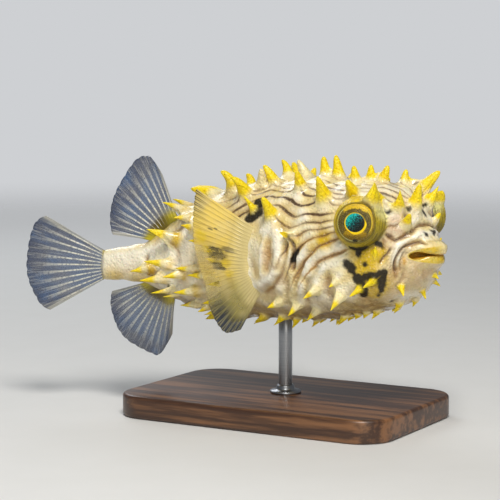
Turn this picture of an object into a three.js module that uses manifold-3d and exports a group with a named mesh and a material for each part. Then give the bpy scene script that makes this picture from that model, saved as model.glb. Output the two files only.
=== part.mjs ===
// A striped burrfish, a small spiny pufferfish, as a still life-size model on a plain display stand.
// Millimetres, +Z up. The nose points towards +X and the fish's right flank faces -Y. The origin is the
// centre of the whole model's footprint, level with the underside of the stand.
import * as THREE from "three";
import { mergeVertices } from "three/addons/utils/BufferGeometryUtils.js";
import Module from "manifold-3d";

const wasm = await Module();
wasm.setup();

// ---------------------------------------------------------------- driving dimensions

const BODY_LENGTH = 132; // lips to the root of the tail fin, along the body's bend
const NOSE = { x: 51, y: -6, z: 58 }; // where the body's middle line reaches the lips
const PITCH = 3.2; // degrees that the nose points up
// The lips sit above the middle line and wrap back round it, and the lower jaw stands back by the tuck. The
// head takes over by a share of the length.
const MUZZLE = { rise: 2.8, wrap: 7.0, tuck: 1.0, until: 0.13 };
const BEND = { head: -9, tail: 19, from: 0.3, to: 0.85 }; // heading in degrees, and where it changes
const SECTION_POWER = 2.4; // 2 is an ellipse; more is boxier
const GAP = 0.3; // clearance between neighbouring solids
const RING_SIDES = 22; // facets round the body
const MERGE = 1e-4; // vertices nearer than this are one

// Body outline: share of the length from the lips, and height above, depth below and half width there.
const OUTLINE = [
  { at: 0.0, top: 3.0, bottom: 3.0, half: 7.6 },
  { at: 0.015, top: 4.4, bottom: 5.0, half: 9.2 },
  { at: 0.035, top: 5.8, bottom: 7.9, half: 11.2 },
  { at: 0.06, top: 10.8, bottom: 10.3, half: 13.6 },
  { at: 0.085, top: 18.8, bottom: 11.9, half: 16.2 },
  { at: 0.12, top: 24.4, bottom: 13.6, half: 18.6 },
  { at: 0.18, top: 27.0, bottom: 16.2, half: 20.4 },
  { at: 0.28, top: 28.0, bottom: 18.6, half: 21.8 },
  { at: 0.4, top: 29.0, bottom: 19.6, half: 22.2 },
  { at: 0.52, top: 28.5, bottom: 19.6, half: 20.8 },
  { at: 0.65, top: 25.5, bottom: 18.2, half: 17.4 },
  { at: 0.75, top: 20.5, bottom: 15.8, half: 13.5 },
  { at: 0.83, top: 12.5, bottom: 10.6, half: 9.0 },
  { at: 0.9, top: 7.2, bottom: 6.2, half: 6.2 },
  { at: 1.0, top: 5.6, bottom: 5.2, half: 3.6 },
];

// The slit's half height and drop, how far its corners stand in, and the depths of the lip and of the mouth.
const MOUTH = { seam: 0.9, sag: 0.4, inset: 1.6, lip: 0.8, reach: 4.5 };
// The swelling of flesh that the pectoral fin grows from.
const SHOULDER = { at: 0.425, angle: 84, reach: 0.085, spread: 36, height: 2.4 };
const CUTS = { snout: 0.047, head: 0.3925, tail_stem: 0.84 }; // where the body is parted

// Where the eyes sit, the radii of the ball, of the dome of skin round it and of the opening between the
// lids, and how many degrees the gaze turns out from straight ahead and up.
const EYE = {
  at: 0.155,
  side: 18,
  up: 14.6,
  ball: 7.7,
  dome: 8.5,
  opening: 6.4,
  lid: 2,
  yaw: 69,
  tilt: 4,
  facets: 16,
};
// The gill opening, a slit before the pectoral fin.
const GILL = { at: 0.345, angle: 77, length: 9, width: 1.8, depth: 2.4, slant: 24 };

// ---------------------------------------------------------------- small tools

const rad = THREE.MathUtils.degToRad;
const clamp = THREE.MathUtils.clamp;
const mix = THREE.MathUtils.lerp;
const smooth = (x, from, to) => THREE.MathUtils.smoothstep(x, from, to);

// A smooth curve through stations that never overshoots them (monotone cubic).
function curve(stations, key) {
  const x = stations.map((o) => o.at);
  const y = stations.map((o) => o[key]);
  const gap = x.slice(1).map((v, i) => v - x[i]);
  const rise = gap.map((g, i) => (y[i + 1] - y[i]) / g);
  const slope = x.map((_, i) => {
    if (i === 0) return rise[0];
    if (i === x.length - 1) return rise[i - 1];
    if (rise[i - 1] * rise[i] <= 0) return 0;
    const [a, b] = [2 * gap[i] + gap[i - 1], gap[i] + 2 * gap[i - 1]];
    return (a + b) / (a / rise[i - 1] + b / rise[i]);
  });
  return (at) => {
    const next = x.findIndex((v) => v > at);
    const i = clamp(next < 0 ? gap.length - 1 : next - 1, 0, gap.length - 1);
    const t = clamp((at - x[i]) / gap[i], 0, 1);
    const [t2, t3] = [t * t, t * t * t];
    return (
      y[i] * (2 * t3 - 3 * t2 + 1) +
      gap[i] * slope[i] * (t3 - 2 * t2 + t) +
      y[i + 1] * (3 * t2 - 2 * t3) +
      gap[i] * slope[i + 1] * (t3 - t2)
    );
  };
}
const topOf = curve(OUTLINE, "top");
const bottomOf = curve(OUTLINE, "bottom");
const halfOf = curve(OUTLINE, "half");

// ---------------------------------------------------------------- the body's bent middle line

const heading = (at) => rad(mix(BEND.head, BEND.tail, smooth(at, BEND.from, BEND.to)));
const LINE_STEPS = 260;
const LINE_END = 1.3;
const LINE = [new THREE.Vector3(NOSE.x, NOSE.y, NOSE.z)];
for (let i = 1; i <= LINE_STEPS; i++) {
  const run = (LINE_END / LINE_STEPS) * BODY_LENGTH;
  const h = heading(((i - 0.5) / LINE_STEPS) * LINE_END);
  const step = new THREE.Vector3(-Math.cos(h), -Math.sin(h), -Math.tan(rad(PITCH)) * Math.cos(h));
  LINE.push(LINE[i - 1].clone().addScaledVector(step, run));
}

// How much of the muzzle's own shape a station has: all of it at the lips and none behind the cheeks.
const muzzle = (at) => 1 - smooth(at, 0, MUZZLE.until);

// Centre, forward and leftward directions at a share of the length.
function station(at) {
  const k = clamp((at / LINE_END) * LINE_STEPS, 0, LINE_STEPS - 1e-6);
  const i = Math.floor(k);
  const h = heading(at);
  return {
    centre: LINE[i].clone().lerp(LINE[i + 1], k - i).add(new THREE.Vector3(0, 0, MUZZLE.rise * muzzle(at))),
    forward: new THREE.Vector3(Math.cos(h), Math.sin(h), 0),
    left: new THREE.Vector3(-Math.sin(h), Math.cos(h), 0),
  };
}

// A point on the body. The angle is in degrees: 0 is the back, 90 the right flank, 180 the belly.
// grow stands the point off the skin.
function bodyPoint(at, angle, grow = 0) {
  const { centre, forward, left } = station(at);
  const [c, s] = [Math.cos(rad(angle)), Math.sin(rad(angle))];
  const reach = (Math.abs(c) ** SECTION_POWER + Math.abs(s) ** SECTION_POWER) ** (-1 / SECTION_POWER);
  const turned = angle > 180 ? 360 - angle : angle;
  const across = (at - SHOULDER.at) / SHOULDER.reach;
  const round = (turned - SHOULDER.angle) / SHOULDER.spread;
  const swell = SHOULDER.height * Math.max(0, 1 - across ** 2 - round ** 2) ** 1.5;
  const half = halfOf(at) + grow + swell;
  const high = (c > 0 ? topOf(at) : bottomOf(at)) + grow;
  const back = muzzle(at) * (MUZZLE.wrap * s * s + MUZZLE.tuck * Math.max(0, -c));
  return centre
    .addScaledVector(left, -half * s * reach)
    .addScaledVector(forward, -back)
    .add(new THREE.Vector3(0, 0, high * c * reach));
}

// Outward normal and tailward tangent of the skin, for what grows from it.
function skinFrame(at, angle) {
  const d = 0.004;
  const tail = bodyPoint(at + d, angle).sub(bodyPoint(Math.max(at - d, 0), angle)).normalize();
  const round = bodyPoint(at, (angle + 361) % 360).sub(bodyPoint(at, (angle + 359) % 360));
  const normal = new THREE.Vector3().crossVectors(round, tail).normalize();
  const out = bodyPoint(at, angle).sub(station(at).centre);
  if (normal.dot(out) < 0) normal.negate();
  return { normal, tail };
}

// ---------------------------------------------------------------- solids

// A solid from a closed geometry, turned right side out if bending left it inside out.
function solid(geometry) {
  const g = geometry.clone();
  g.deleteAttribute("normal");
  g.deleteAttribute("uv");
  const merged = mergeVertices(g, MERGE);
  const corners = Uint32Array.from(merged.index.array);
  const mesh = { numProp: 3, vertProperties: merged.attributes.position.array, triVerts: corners };
  const made = new wasm.Manifold(new wasm.Mesh(mesh));
  if (made.volume() > 0) return made;
  for (let i = 0; i < corners.length; i += 3) [corners[i], corners[i + 1]] = [corners[i + 1], corners[i]];
  return new wasm.Manifold(new wasm.Mesh({ ...mesh, triVerts: corners }));
}

// Moves every vertex of a closed geometry to where place says, and makes it a solid.
function bend(geometry, place) {
  const points = geometry.getAttribute("position");
  const v = new THREE.Vector3();
  for (let i = 0; i < points.count; i++) {
    const { x, y, z } = place(v.fromBufferAttribute(points, i));
    points.setXYZ(i, x, y, z);
  }
  return solid(geometry);
}

// ---------------------------------------------------------------- body with its mouth

const RING_STATIONS = [
  0.0, 0.015, 0.035, 0.06, 0.075, 0.095, 0.12, 0.155, 0.2, 0.26, 0.33, 0.4, 0.47, 0.54, 0.61, 0.68, 0.74,
  0.79, 0.84, 0.89, 0.94,
];

// A ring inside the lips: it narrows to the slit as tight goes to 1, and goes back into the head.
const lipRing = (tight, depth) => (angle) => {
  const { centre, forward, left } = station(0);
  const rim = bodyPoint(0, angle).sub(centre);
  const side = rim.dot(left) * (1 - (MOUTH.inset / OUTLINE[0].half) * tight);
  const slit = MOUTH.seam * clamp(rim.z, -1, 1) - MOUTH.sag;
  return centre
    .addScaledVector(left, side)
    .addScaledVector(forward, rim.dot(forward) - depth)
    .add(new THREE.Vector3(0, 0, mix(rim.z, slit, tight)));
};

// The body with its mouth, or, grown, the room that it needs: grown is longer too and has no mouth.
function bodySolid(grow = 0) {
  const tailEnd = 1 + grow / BODY_LENGTH;
  const outer = [...RING_STATIONS, tailEnd].map((at) => (angle) => bodyPoint(at, angle, grow));
  const lips = grow ? [] : [lipRing(1, MOUTH.reach), lipRing(0.9, MOUTH.lip)];
  const rings = [...lips, ...outer];
  const { centre, forward } = station(0);
  const throat = centre.addScaledVector(forward, grow ? grow : -MOUTH.reach - MOUTH.lip);
  const last = rings.length - 1;
  return bend(new THREE.CylinderGeometry(1, 1, 1, RING_SIDES, last), ({ x, y, z }) => {
    const onAxis = Math.hypot(x, z) < 0.5;
    if (onAxis) return y > 0 ? throat : station(tailEnd).centre;
    const angle = THREE.MathUtils.radToDeg(Math.atan2(x, z)) + 180 / RING_SIDES;
    return rings[Math.round((0.5 - y) * last)]((angle + 360) % 360);
  });
}

// ---------------------------------------------------------------- spines

// Spines as [station, angle, length, lean, drop, hook]. Lean tips a spine from standing straight out towards
// the tail and drop tips it towards the belly, in degrees. Hook bends its tip back by a share of the length.
const PAIRED_SPINES = [
  // head
  [0.065, 34, 4.5, 28, -4],
  [0.089, 30, 7, 28, 0],
  [0.132, 40, 7.5, 2, -14],
  [0.111, 81, 2.5, -16, -20],
  [0.356, 70, 5, 32, -12],
  // back and shoulders
  [0.206, 36, 6.5, -8, 4],
  [0.282, 42, 8, -4, -20],
  [0.374, 32, 7.5, -2, -8],
  [0.436, 56, 7, -12, -20],
  [0.488, 21, 6, 16, 0],
  [0.523, 25, 6.5, -12, -8],
  [0.513, 51, 5, 0, -8],
  [0.563, 35, 8, -6, -4, 0.2],
  [0.622, 23, 7.5, -10, -4, 0.25],
  [0.689, 9, 8.5, 50, -8, 0.15],
  // rear flank and tail stem
  [0.764, 24, 8.5, 24, -8],
  [0.745, 41, 6.5, 16, 24],
  [0.718, 57, 7, 4, 0],
  [0.669, 70, 8, 16, 0],
  [0.785, 60, 10.5, 16, -24],
  [0.617, 85, 6.5, 16, -8],
  [0.797, 88, 8.5, 44, -16],
  [0.865, 96, 7, 36, 8],
  [0.815, 110, 8.5, 44, 8],
  [0.786, 123, 8, 40, 8],
  [0.757, 99, 7.5, 20, 4],
  [0.704, 94, 7.5, 60, -14],
  [0.668, 100, 7, 60, -8],
  [0.58, 106, 8, 56, 0, 0.15],
  [0.61, 124, 7.5, 58, 0, 0.2],
  [0.535, 124, 7.5, 58, 0, 0.2],
  [0.713, 119, 7.5, 64, 0],
  // belly, from the jaw back
  [0.064, 139, 5, 22, 4],
  [0.107, 165, 4, 54, 4],
  [0.116, 109, 5.5, 36, -4],
  [0.154, 116, 5.5, 24, -4],
  [0.168, 163, 4, 48, 8],
  [0.19, 157, 3, 44, 20],
  [0.222, 161, 3, 44, 20],
  [0.217, 105, 3.5, 16, 16],
  [0.212, 121, 6.5, 12, 8],
  [0.249, 155, 4.5, 40, 4],
  [0.274, 112, 6, 20, 8],
  [0.301, 137, 5, 36, 0],
  [0.3, 172, 4.5, 40, 0],
  [0.349, 129, 5.5, 24, 4],
  [0.361, 167, 4, 44, 8],
  [0.408, 157, 4.5, 20, 8],
  [0.407, 125, 5, 40, -4],
  [0.431, 147, 5, 40, 4],
  [0.504, 150, 4.5, 62, 8],
  [0.57, 142, 6.5, 54, 0, 0.2],
  [0.64, 142, 6.5, 54, 0, 0.2],
  [0.6, 163, 5.5, 54, 0, 0.1],
  [0.67, 163, 5.5, 54, 0, 0.1],
  [0.684, 141, 5, 16, -30],
  [0.714, 138, 6.5, 66, 0],
  [0.78, 133, 6, 20, -20],
];
// Those that stand alone, on or near the middle line.
const LONE_SPINES = [
  // forehead and crest
  [0.082, 5, 7, 38, 6],
  [0.117, 328, 10, 0, -6],
  [0.15, 338, 5, 22, -4],
  [0.186, 1, 5, -18, -6],
  [0.216, 4, 4.5, -8, 2],
  [0.246, 12, 4.5, -2, 2],
  [0.328, 357, 6, 10, -4],
  [0.369, 358, 6, 3, -6],
  [0.438, 354, 6.5, 24, -6],
  [0.45, 340, 4.5, -8, 12],
  [0.488, 356, 6.5, 18, 10, 0.15],
  // chin and belly
  [0.024, 180, 2.5, 0, 0],
  [0.061, 180, 4, 24, 0],
  [0.369, 180, 4.8, 40, 0, 0.1],
  [0.425, 180, 4.8, 40, 0, 0.1],
  [0.55, 180, 5.5, 50, 0, 0.1],
  [0.635, 180, 5.5, 50, 0, 0.1],
];
const SPINE = { root: 2.2, shaft: 1.2, full: 8, sunk: 1.2, sides: 5, bend: 0.4, hooked: 0.15 };

// A spine's radius from its flared root at 0 to its point at 1, for one of full length.
const spineRadius = (s) => (SPINE.root - SPINE.shaft) * (1 - s) ** 4 + SPINE.shaft * (1 - s) ** 0.6;

// A spine drawn out of the skin, closed below its root, which lies inside the body.
function spineSolid(at, angle, length, lean, drop, hook = 0) {
  const { normal, tail } = skinFrame(at, angle);
  const side = new THREE.Vector3().crossVectors(normal, tail).normalize();
  const size = Math.sqrt(length / SPINE.full);
  const belly = angle > 180 ? -1 : 1; // which way along side the belly lies
  const line = (s) =>
    bodyPoint(at, angle)
      .addScaledVector(normal, length * s * Math.cos(rad(lean)) * Math.cos(rad(drop)))
      .addScaledVector(side, length * s * Math.cos(rad(lean)) * Math.sin(rad(drop)) * belly)
      .addScaledVector(tail, length * (s * Math.sin(rad(lean)) + hook * s * s));
  const steps = hook >= SPINE.hooked ? [0, SPINE.bend, 1] : [0, 1];
  const last = steps.length - 1;
  return bend(new THREE.ConeGeometry(1, 1, SPINE.sides, last), ({ x, y, z }) => {
    const s = steps[Math.round((y + 0.5) * last)];
    const along = line(s + 0.01).sub(line(s - 0.01)).normalize();
    const flat = new THREE.Vector3().crossVectors(side, along).normalize();
    const across = new THREE.Vector3().crossVectors(along, flat);
    const turn = Math.atan2(x, z);
    const radius = Math.hypot(x, z) < 0.1 ? 0 : spineRadius(s) * size;
    return line(s)
      .addScaledVector(normal, s ? 0 : -SPINE.sunk)
      .addScaledVector(across, radius * Math.cos(turn))
      .addScaledVector(flat, radius * Math.sin(turn));
  });
}

// Every spine with its station, so that each joins the part of the body it grows from.
function allSpines() {
  const mirrored = PAIRED_SPINES.map(([at, angle, ...rest]) => [at, 360 - angle, ...rest]);
  const spines = [...PAIRED_SPINES, ...mirrored, ...LONE_SPINES];
  return spines.map((spine) => ({ at: spine[0], solid: spineSolid(...spine) }));
}

// ---------------------------------------------------------------- eyes

// An eye's centre and where it looks; sign is 1 for the left eye and -1 for the right.
function eyeFrame(sign) {
  const { centre, forward, left } = station(EYE.at);
  const middle = centre.addScaledVector(left, sign * EYE.side).add(new THREE.Vector3(0, 0, EYE.up));
  const up = new THREE.Vector3(0, 0, 1);
  const level = forward.clone().applyAxisAngle(up, sign * rad(EYE.yaw));
  const gaze = level.multiplyScalar(Math.cos(rad(EYE.tilt))).addScaledVector(up, Math.sin(rad(EYE.tilt)));
  return { middle, gaze };
}

function ballAt(middle, radius, gaze) {
  const g = new THREE.SphereGeometry(radius, EYE.facets, EYE.facets / 2 + 1);
  g.applyQuaternion(new THREE.Quaternion().setFromUnitVectors(new THREE.Vector3(0, 1, 0), gaze));
  g.translate(middle.x, middle.y, middle.z);
  return solid(g);
}

// The round opening between the lids, as a plug along the gaze.
function lidOpening(middle, gaze) {
  const g = new THREE.CylinderGeometry(EYE.opening, EYE.opening, EYE.dome, EYE.facets);
  g.translate(0, EYE.dome / 2 + EYE.lid, 0);
  g.applyQuaternion(new THREE.Quaternion().setFromUnitVectors(new THREE.Vector3(0, 1, 0), gaze));
  g.translate(middle.x, middle.y, middle.z);
  return solid(g);
}

// A lens-shaped cutter for a gill opening, its long side slanting back as it goes up.
function gillCutter(sign) {
  const angle = sign > 0 ? 360 - GILL.angle : GILL.angle;
  const { normal, tail } = skinFrame(GILL.at, angle);
  const slant = rad(GILL.slant);
  const up = new THREE.Vector3().crossVectors(normal, tail).multiplyScalar(sign);
  const along = up.multiplyScalar(Math.cos(slant)).addScaledVector(tail, -Math.sin(slant));
  const g = new THREE.SphereGeometry(1, 10, 6);
  g.scale(GILL.depth, GILL.length / 2, GILL.width / 2);
  const across = new THREE.Vector3().crossVectors(normal, along);
  g.applyMatrix4(new THREE.Matrix4().makeBasis(normal, along, across));
  const middle = bodyPoint(GILL.at, angle);
  return solid(g.translate(middle.x, middle.y, middle.z));
}

// ---------------------------------------------------------------- fins

// A fin is a fan of rays: across goes from 0 at its first ray to 1 at its last, along from 0 at the root
// to 1 at the margin. Each fin gives the root point, the ray's direction and the side that its plate faces.
const FIN = { root: 1.1, margin: 0.6, acrossSteps: 10, alongSteps: 3, sunk: 3 };

function finSolid(rays, { root, direction, side, bow, sunk = FIN.sunk }) {
  const liftOf = curve(rays, "lift");
  const lengthOf = curve(rays, "length");
  return bend(new THREE.BoxGeometry(1, 1, 1, FIN.acrossSteps, FIN.alongSteps), ({ x, y, z }) => {
    const [across, along] = [x + 0.5, y + 0.5];
    const length = lengthOf(across);
    const reach = mix(-sunk, length, along);
    const share = Math.max(0, reach) / length;
    return root(across)
      .addScaledVector(direction(liftOf(across), across), reach)
      .addScaledVector(side(across), bow * share * share + z * mix(FIN.root, FIN.margin, along));
  });
}

// A ray in an upright plane: lift is its angle above straight back, in degrees.
function backward(at, lift, outward = 0, sign = 1) {
  const { forward, left } = station(at);
  return new THREE.Vector3()
    .addScaledVector(forward, -Math.cos(rad(lift)) * Math.cos(rad(outward)))
    .addScaledVector(left, sign * Math.cos(rad(lift)) * Math.sin(rad(outward)))
    .add(new THREE.Vector3(0, 0, Math.sin(rad(lift))))
    .normalize();
}

// Each fin's rays from its first to its last: lift above straight back in degrees, and length. bow is how
// far the margin swings to the fin's side.
const TAIL_FIN = {
  root: 4.7,
  bow: -2.5,
  rays: [
    { at: 0, lift: 31, length: 25.4 },
    { at: 0.12, lift: 24, length: 28 },
    { at: 0.5, lift: 0, length: 29 },
    { at: 0.88, lift: -23, length: 26.5 },
    { at: 1, lift: -30, length: 23.5 },
  ],
};
const DORSAL_FIN = {
  angle: 0,
  from: 0.8,
  to: 0.876,
  bow: -1.5,
  rays: [
    { at: 0, lift: 72, length: 16 },
    { at: 0.2, lift: 67, length: 25 },
    { at: 0.45, lift: 50, length: 24 },
    { at: 0.8, lift: 24, length: 18.5 },
    { at: 1, lift: 8, length: 13 },
  ],
};
const ANAL_FIN = {
  angle: 180,
  from: 0.808,
  to: 0.888,
  bow: 1.5,
  rays: [
    { at: 0, lift: -84, length: 14 },
    { at: 0.2, lift: -77, length: 23.2 },
    { at: 0.45, lift: -59, length: 23 },
    { at: 0.8, lift: -33, length: 18.5 },
    { at: 1, lift: -16, length: 13.5 },
  ],
};
const PECTORAL_FIN = {
  root: { at: 0.512, lean: 0.03, arc: 0.03, angles: [62, 119] },
  outward: 34,
  bow: 2,
  rays: [
    { at: 0, lift: 34, length: 22.3 },
    { at: 0.3, lift: 18, length: 18.5 },
    { at: 0.6, lift: -14, length: 14.6 },
    { at: 0.88, lift: -55, length: 18 },
    { at: 1, lift: -63, length: 13.5 },
  ],
};

function tailFin() {
  const { centre, left } = station(1);
  return finSolid(TAIL_FIN.rays, {
    root: (a) => centre.clone().add(new THREE.Vector3(0, 0, mix(TAIL_FIN.root, -TAIL_FIN.root, a))),
    direction: (lift) => backward(1, lift),
    side: () => left,
    bow: TAIL_FIN.bow,
    sunk: -GAP,
  });
}

function medianFin(fin) {
  const at = (a) => mix(fin.from, fin.to, a);
  return finSolid(fin.rays, {
    root: (a) => bodyPoint(at(a), fin.angle),
    direction: (lift, a) => backward(at(a), lift),
    side: (a) => station(at(a)).left,
    bow: fin.bow,
  });
}

function pectoralFin(sign) {
  const { root, outward, bow, rays } = PECTORAL_FIN;
  const at = (a) => root.at - root.lean * a + root.arc * Math.sin(Math.PI * a);
  const angle = (a) => (sign > 0 ? 360 - mix(...root.angles, a) : mix(...root.angles, a));
  const flat = backward(root.at, 0, outward, sign);
  const side = new THREE.Vector3().crossVectors(flat, new THREE.Vector3(0, 0, 1)).multiplyScalar(-sign);
  return finSolid(rays, {
    root: (a) => bodyPoint(at(a), angle(a)),
    direction: (lift) => backward(root.at, lift, outward, sign),
    side: () => side,
    bow,
  });
}

// ---------------------------------------------------------------- stand

// The base's sizes, the rod's radius, how deep it stands in the base, and the station it stands under.
const STAND = { length: 104, width: 66, thick: 8, corner: 12, bevel: 1, rod: 2.4, socket: 3, under: 0.49 };
const ROD_SIDES = 16;

const standAt = station(STAND.under).centre.setZ(0);

function standBase() {
  const [x, y, r] = [STAND.length / 2 - STAND.bevel, STAND.width / 2 - STAND.bevel, STAND.corner];
  const outline = new THREE.Shape();
  outline.moveTo(-x + r, -y);
  outline.lineTo(x - r, -y);
  outline.absarc(x - r, -y + r, r, -Math.PI / 2, 0);
  outline.absarc(x - r, y - r, r, 0, Math.PI / 2);
  outline.absarc(-x + r, y - r, r, Math.PI / 2, Math.PI);
  outline.absarc(-x + r, -y + r, r, Math.PI, 1.5 * Math.PI);
  const plate = new THREE.ExtrudeGeometry(outline, {
    depth: STAND.thick - 2 * STAND.bevel,
    bevelThickness: STAND.bevel,
    bevelSize: STAND.bevel,
    bevelSegments: 1,
    curveSegments: 4,
  });
  plate.translate(standAt.x, standAt.y, STAND.bevel);
  const hole = new THREE.CylinderGeometry(STAND.rod + GAP, STAND.rod + GAP, 2 * STAND.socket, ROD_SIDES);
  hole.rotateX(Math.PI / 2).translate(standAt.x, standAt.y, STAND.thick);
  return solid(plate).subtract(solid(hole));
}

function standRod(flesh) {
  const foot = STAND.thick - STAND.socket + GAP;
  const top = NOSE.z;
  const rod = new THREE.CylinderGeometry(STAND.rod, STAND.rod, top - foot, ROD_SIDES);
  rod.rotateX(Math.PI / 2).translate(standAt.x, standAt.y, (top + foot) / 2);
  return largest(solid(rod).subtract(flesh));
}

// ---------------------------------------------------------------- putting it together

// The biggest of a solid's separate bodies: booleans can leave slivers behind.
const largest = (s) => s.decompose().reduce((a, b) => (b.volume() > a.volume() ? b : a));

// A thin slab right across the body at a station, to part it there.
function slabAt(at) {
  const { centre, forward } = station(at);
  const g = new THREE.BoxGeometry(GAP, BODY_LENGTH, BODY_LENGTH);
  g.rotateZ(Math.atan2(forward.y, forward.x)).translate(centre.x, centre.y, centre.z);
  return solid(g);
}

function partedBody() {
  const cut = Object.values(CUTS).reduce((s, at) => s.subtract(slabAt(at)), bodySolid());
  const pieces = cut.decompose().filter((p) => p.volume() > 1);
  const noseward = (p) => {
    const { min, max } = p.boundingBox();
    return min[0] + max[0];
  };
  pieces.sort((a, b) => noseward(b) - noseward(a));
  const [snout, head, trunk, tail_stem] = pieces;
  return { snout, head, trunk, tail_stem };
}

function partFor(at) {
  if (at < CUTS.snout) return "snout";
  if (at < CUTS.head) return "head";
  return at < CUTS.tail_stem ? "trunk" : "tail_stem";
}

const parts = partedBody();
for (const spine of allSpines()) {
  const name = partFor(spine.at);
  parts[name] = parts[name].add(spine.solid);
}
for (const sign of [1, -1]) {
  const { middle, gaze } = eyeFrame(sign);
  const hollows = [ballAt(middle, EYE.ball + GAP, gaze), lidOpening(middle, gaze), gillCutter(sign)];
  const domed = parts.head.add(ballAt(middle, EYE.dome, gaze));
  parts.head = hollows.reduce((head, hollow) => head.subtract(hollow), domed);
  parts[sign > 0 ? "eye_left" : "eye_right"] = ballAt(middle, EYE.ball, gaze);
}

// Neighbours are cut clear of each other by the gap, the later one giving way.
const flesh = bodySolid(GAP);
parts.caudal_fin = tailFin();
parts.dorsal_fin = largest(medianFin(DORSAL_FIN).subtract(flesh));
parts.anal_fin = largest(medianFin(ANAL_FIN).subtract(flesh));
parts.pectoral_fin_right = largest(pectoralFin(-1).subtract(flesh));
parts.pectoral_fin_left = largest(pectoralFin(1).subtract(flesh));
for (const name of ["snout", "head", "trunk", "tail_stem"]) parts[name] = largest(parts[name]);
parts.stand_base = standBase();
parts.stand_rod = standRod(flesh);

const SKIN = { color: 0xe6dcc0, roughness: 0.5 };
const FIN_LOOK = { color: 0x8c98a3, roughness: 0.45 };
const LOOKS = {
  snout: SKIN,
  head: SKIN,
  trunk: SKIN,
  tail_stem: SKIN,
  eye_left: { color: 0x1d7f80, roughness: 0.08 },
  eye_right: { color: 0x1d7f80, roughness: 0.08 },
  caudal_fin: FIN_LOOK,
  dorsal_fin: FIN_LOOK,
  anal_fin: FIN_LOOK,
  pectoral_fin_right: { color: 0xd8c46c, roughness: 0.45 },
  pectoral_fin_left: { color: 0xd8c46c, roughness: 0.45 },
  stand_base: { color: 0x3a2a20, roughness: 0.4 },
  stand_rod: { color: 0xb9bcc0, roughness: 0.3, metalness: 1 },
};

// The middle of the whole model's footprint, which becomes the origin.
const boxes = Object.values(parts).map((p) => p.boundingBox());
const [centreX, centreY] = [0, 1].map((axis) => {
  const low = Math.min(...boxes.map((b) => b.min[axis]));
  const high = Math.max(...boxes.map((b) => b.max[axis]));
  return (low + high) / 2;
});

const fish = new THREE.Group();
for (const [name, look] of Object.entries(LOOKS)) {
  const { vertProperties, triVerts } = parts[name].getMesh();
  const g = new THREE.BufferGeometry();
  g.setAttribute("position", new THREE.BufferAttribute(vertProperties, 3));
  g.setIndex(new THREE.BufferAttribute(triVerts, 1));
  g.translate(-centreX, -centreY, 0);
  const mesh = new THREE.Mesh(g, new THREE.MeshStandardMaterial(look));
  mesh.name = name;
  fish.add(mesh);
}

export default fish;
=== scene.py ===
"""Dresses a striped burrfish held over a small wooden stand.

The body plan repeats the part's own named sizes in millimetres; every mesh is written in metres.
"""

import logging
import math
from dataclasses import dataclass, field, replace
from enum import Enum

import bmesh
import bpy
import numpy as np
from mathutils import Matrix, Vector

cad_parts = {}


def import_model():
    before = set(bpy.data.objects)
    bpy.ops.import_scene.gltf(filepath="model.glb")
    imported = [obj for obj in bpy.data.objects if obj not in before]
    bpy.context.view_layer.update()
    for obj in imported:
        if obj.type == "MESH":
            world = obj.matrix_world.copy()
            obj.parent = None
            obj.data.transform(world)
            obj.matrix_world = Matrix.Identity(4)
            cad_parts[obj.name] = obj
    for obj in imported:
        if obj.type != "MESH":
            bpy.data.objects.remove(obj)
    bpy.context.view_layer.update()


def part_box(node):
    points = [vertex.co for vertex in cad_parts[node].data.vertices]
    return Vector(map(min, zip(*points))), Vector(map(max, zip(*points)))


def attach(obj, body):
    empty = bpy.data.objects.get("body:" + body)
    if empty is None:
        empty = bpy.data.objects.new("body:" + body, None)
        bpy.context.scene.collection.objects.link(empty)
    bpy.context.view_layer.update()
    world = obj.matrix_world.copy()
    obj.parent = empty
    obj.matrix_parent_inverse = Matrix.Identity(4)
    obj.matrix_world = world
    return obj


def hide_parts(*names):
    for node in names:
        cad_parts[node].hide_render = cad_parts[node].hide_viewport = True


LOG = logging.getLogger("burrfish")
MM = 0.001
UP = np.array([0.0, 0.0, 1.0])

Array = np.ndarray
Colour = tuple[float, float, float, float]


class Side(Enum):
    """A flank of the fish, as the sign of its leftward direction."""

    RIGHT = -1
    LEFT = 1


# ---------------- curves


def ease(x: Array | float, low: float, high: float) -> Array | float:
    """Smooth step.

    Args:
        x: Values to ease.
        low: Where the step is 0; it may be above high.
        high: Where the step is 1.

    Returns:
        0 to 1, with level ends.
    """
    t = np.clip((np.asarray(x, float) - low) / (high - low), 0.0, 1.0)
    return t * t * (3 - 2 * t)


def mix(a: Array | float, b: Array | float, t: Array | float) -> Array | float:
    """The value a share t of the way from a to b."""
    return a + (b - a) * t


def unit(v: Array) -> Array:
    """The vectors at length 1."""
    return v / np.maximum(np.linalg.norm(v, axis=-1, keepdims=True), 1e-12)


def through(x: Array | float, stations: Array, values: Array) -> Array:
    """A smooth curve through stations that never overshoots them.

    Args:
        x: Where to read the curve.
        stations: Rising positions of the knots.
        values: The knots' values.

    Returns:
        The curve's value at each x.
    """
    x, s, v = np.asarray(x, float), np.asarray(stations, float), np.asarray(values, float)
    gap, rise = np.diff(s), np.diff(v) / np.diff(s)
    slope = np.zeros(len(s))
    slope[0], slope[-1] = rise[0], rise[-1]
    for i in range(1, len(s) - 1):
        if rise[i - 1] * rise[i] > 0:
            a, b = 2 * gap[i] + gap[i - 1], gap[i] + 2 * gap[i - 1]
            slope[i] = (a + b) / (a / rise[i - 1] + b / rise[i])
    i = np.clip(np.searchsorted(s, x, side="right") - 1, 0, len(gap) - 1)
    t = np.clip((x - s[i]) / gap[i], 0, 1)
    t2, t3 = t * t, t * t * t
    return (
        v[i] * (2 * t3 - 3 * t2 + 1)
        + gap[i] * slope[i] * (t3 - 2 * t2 + t)
        + v[i + 1] * (3 * t2 - 2 * t3)
        + gap[i] * slope[i + 1] * (t3 - t2)
    )


# ---------------- body plan


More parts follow.
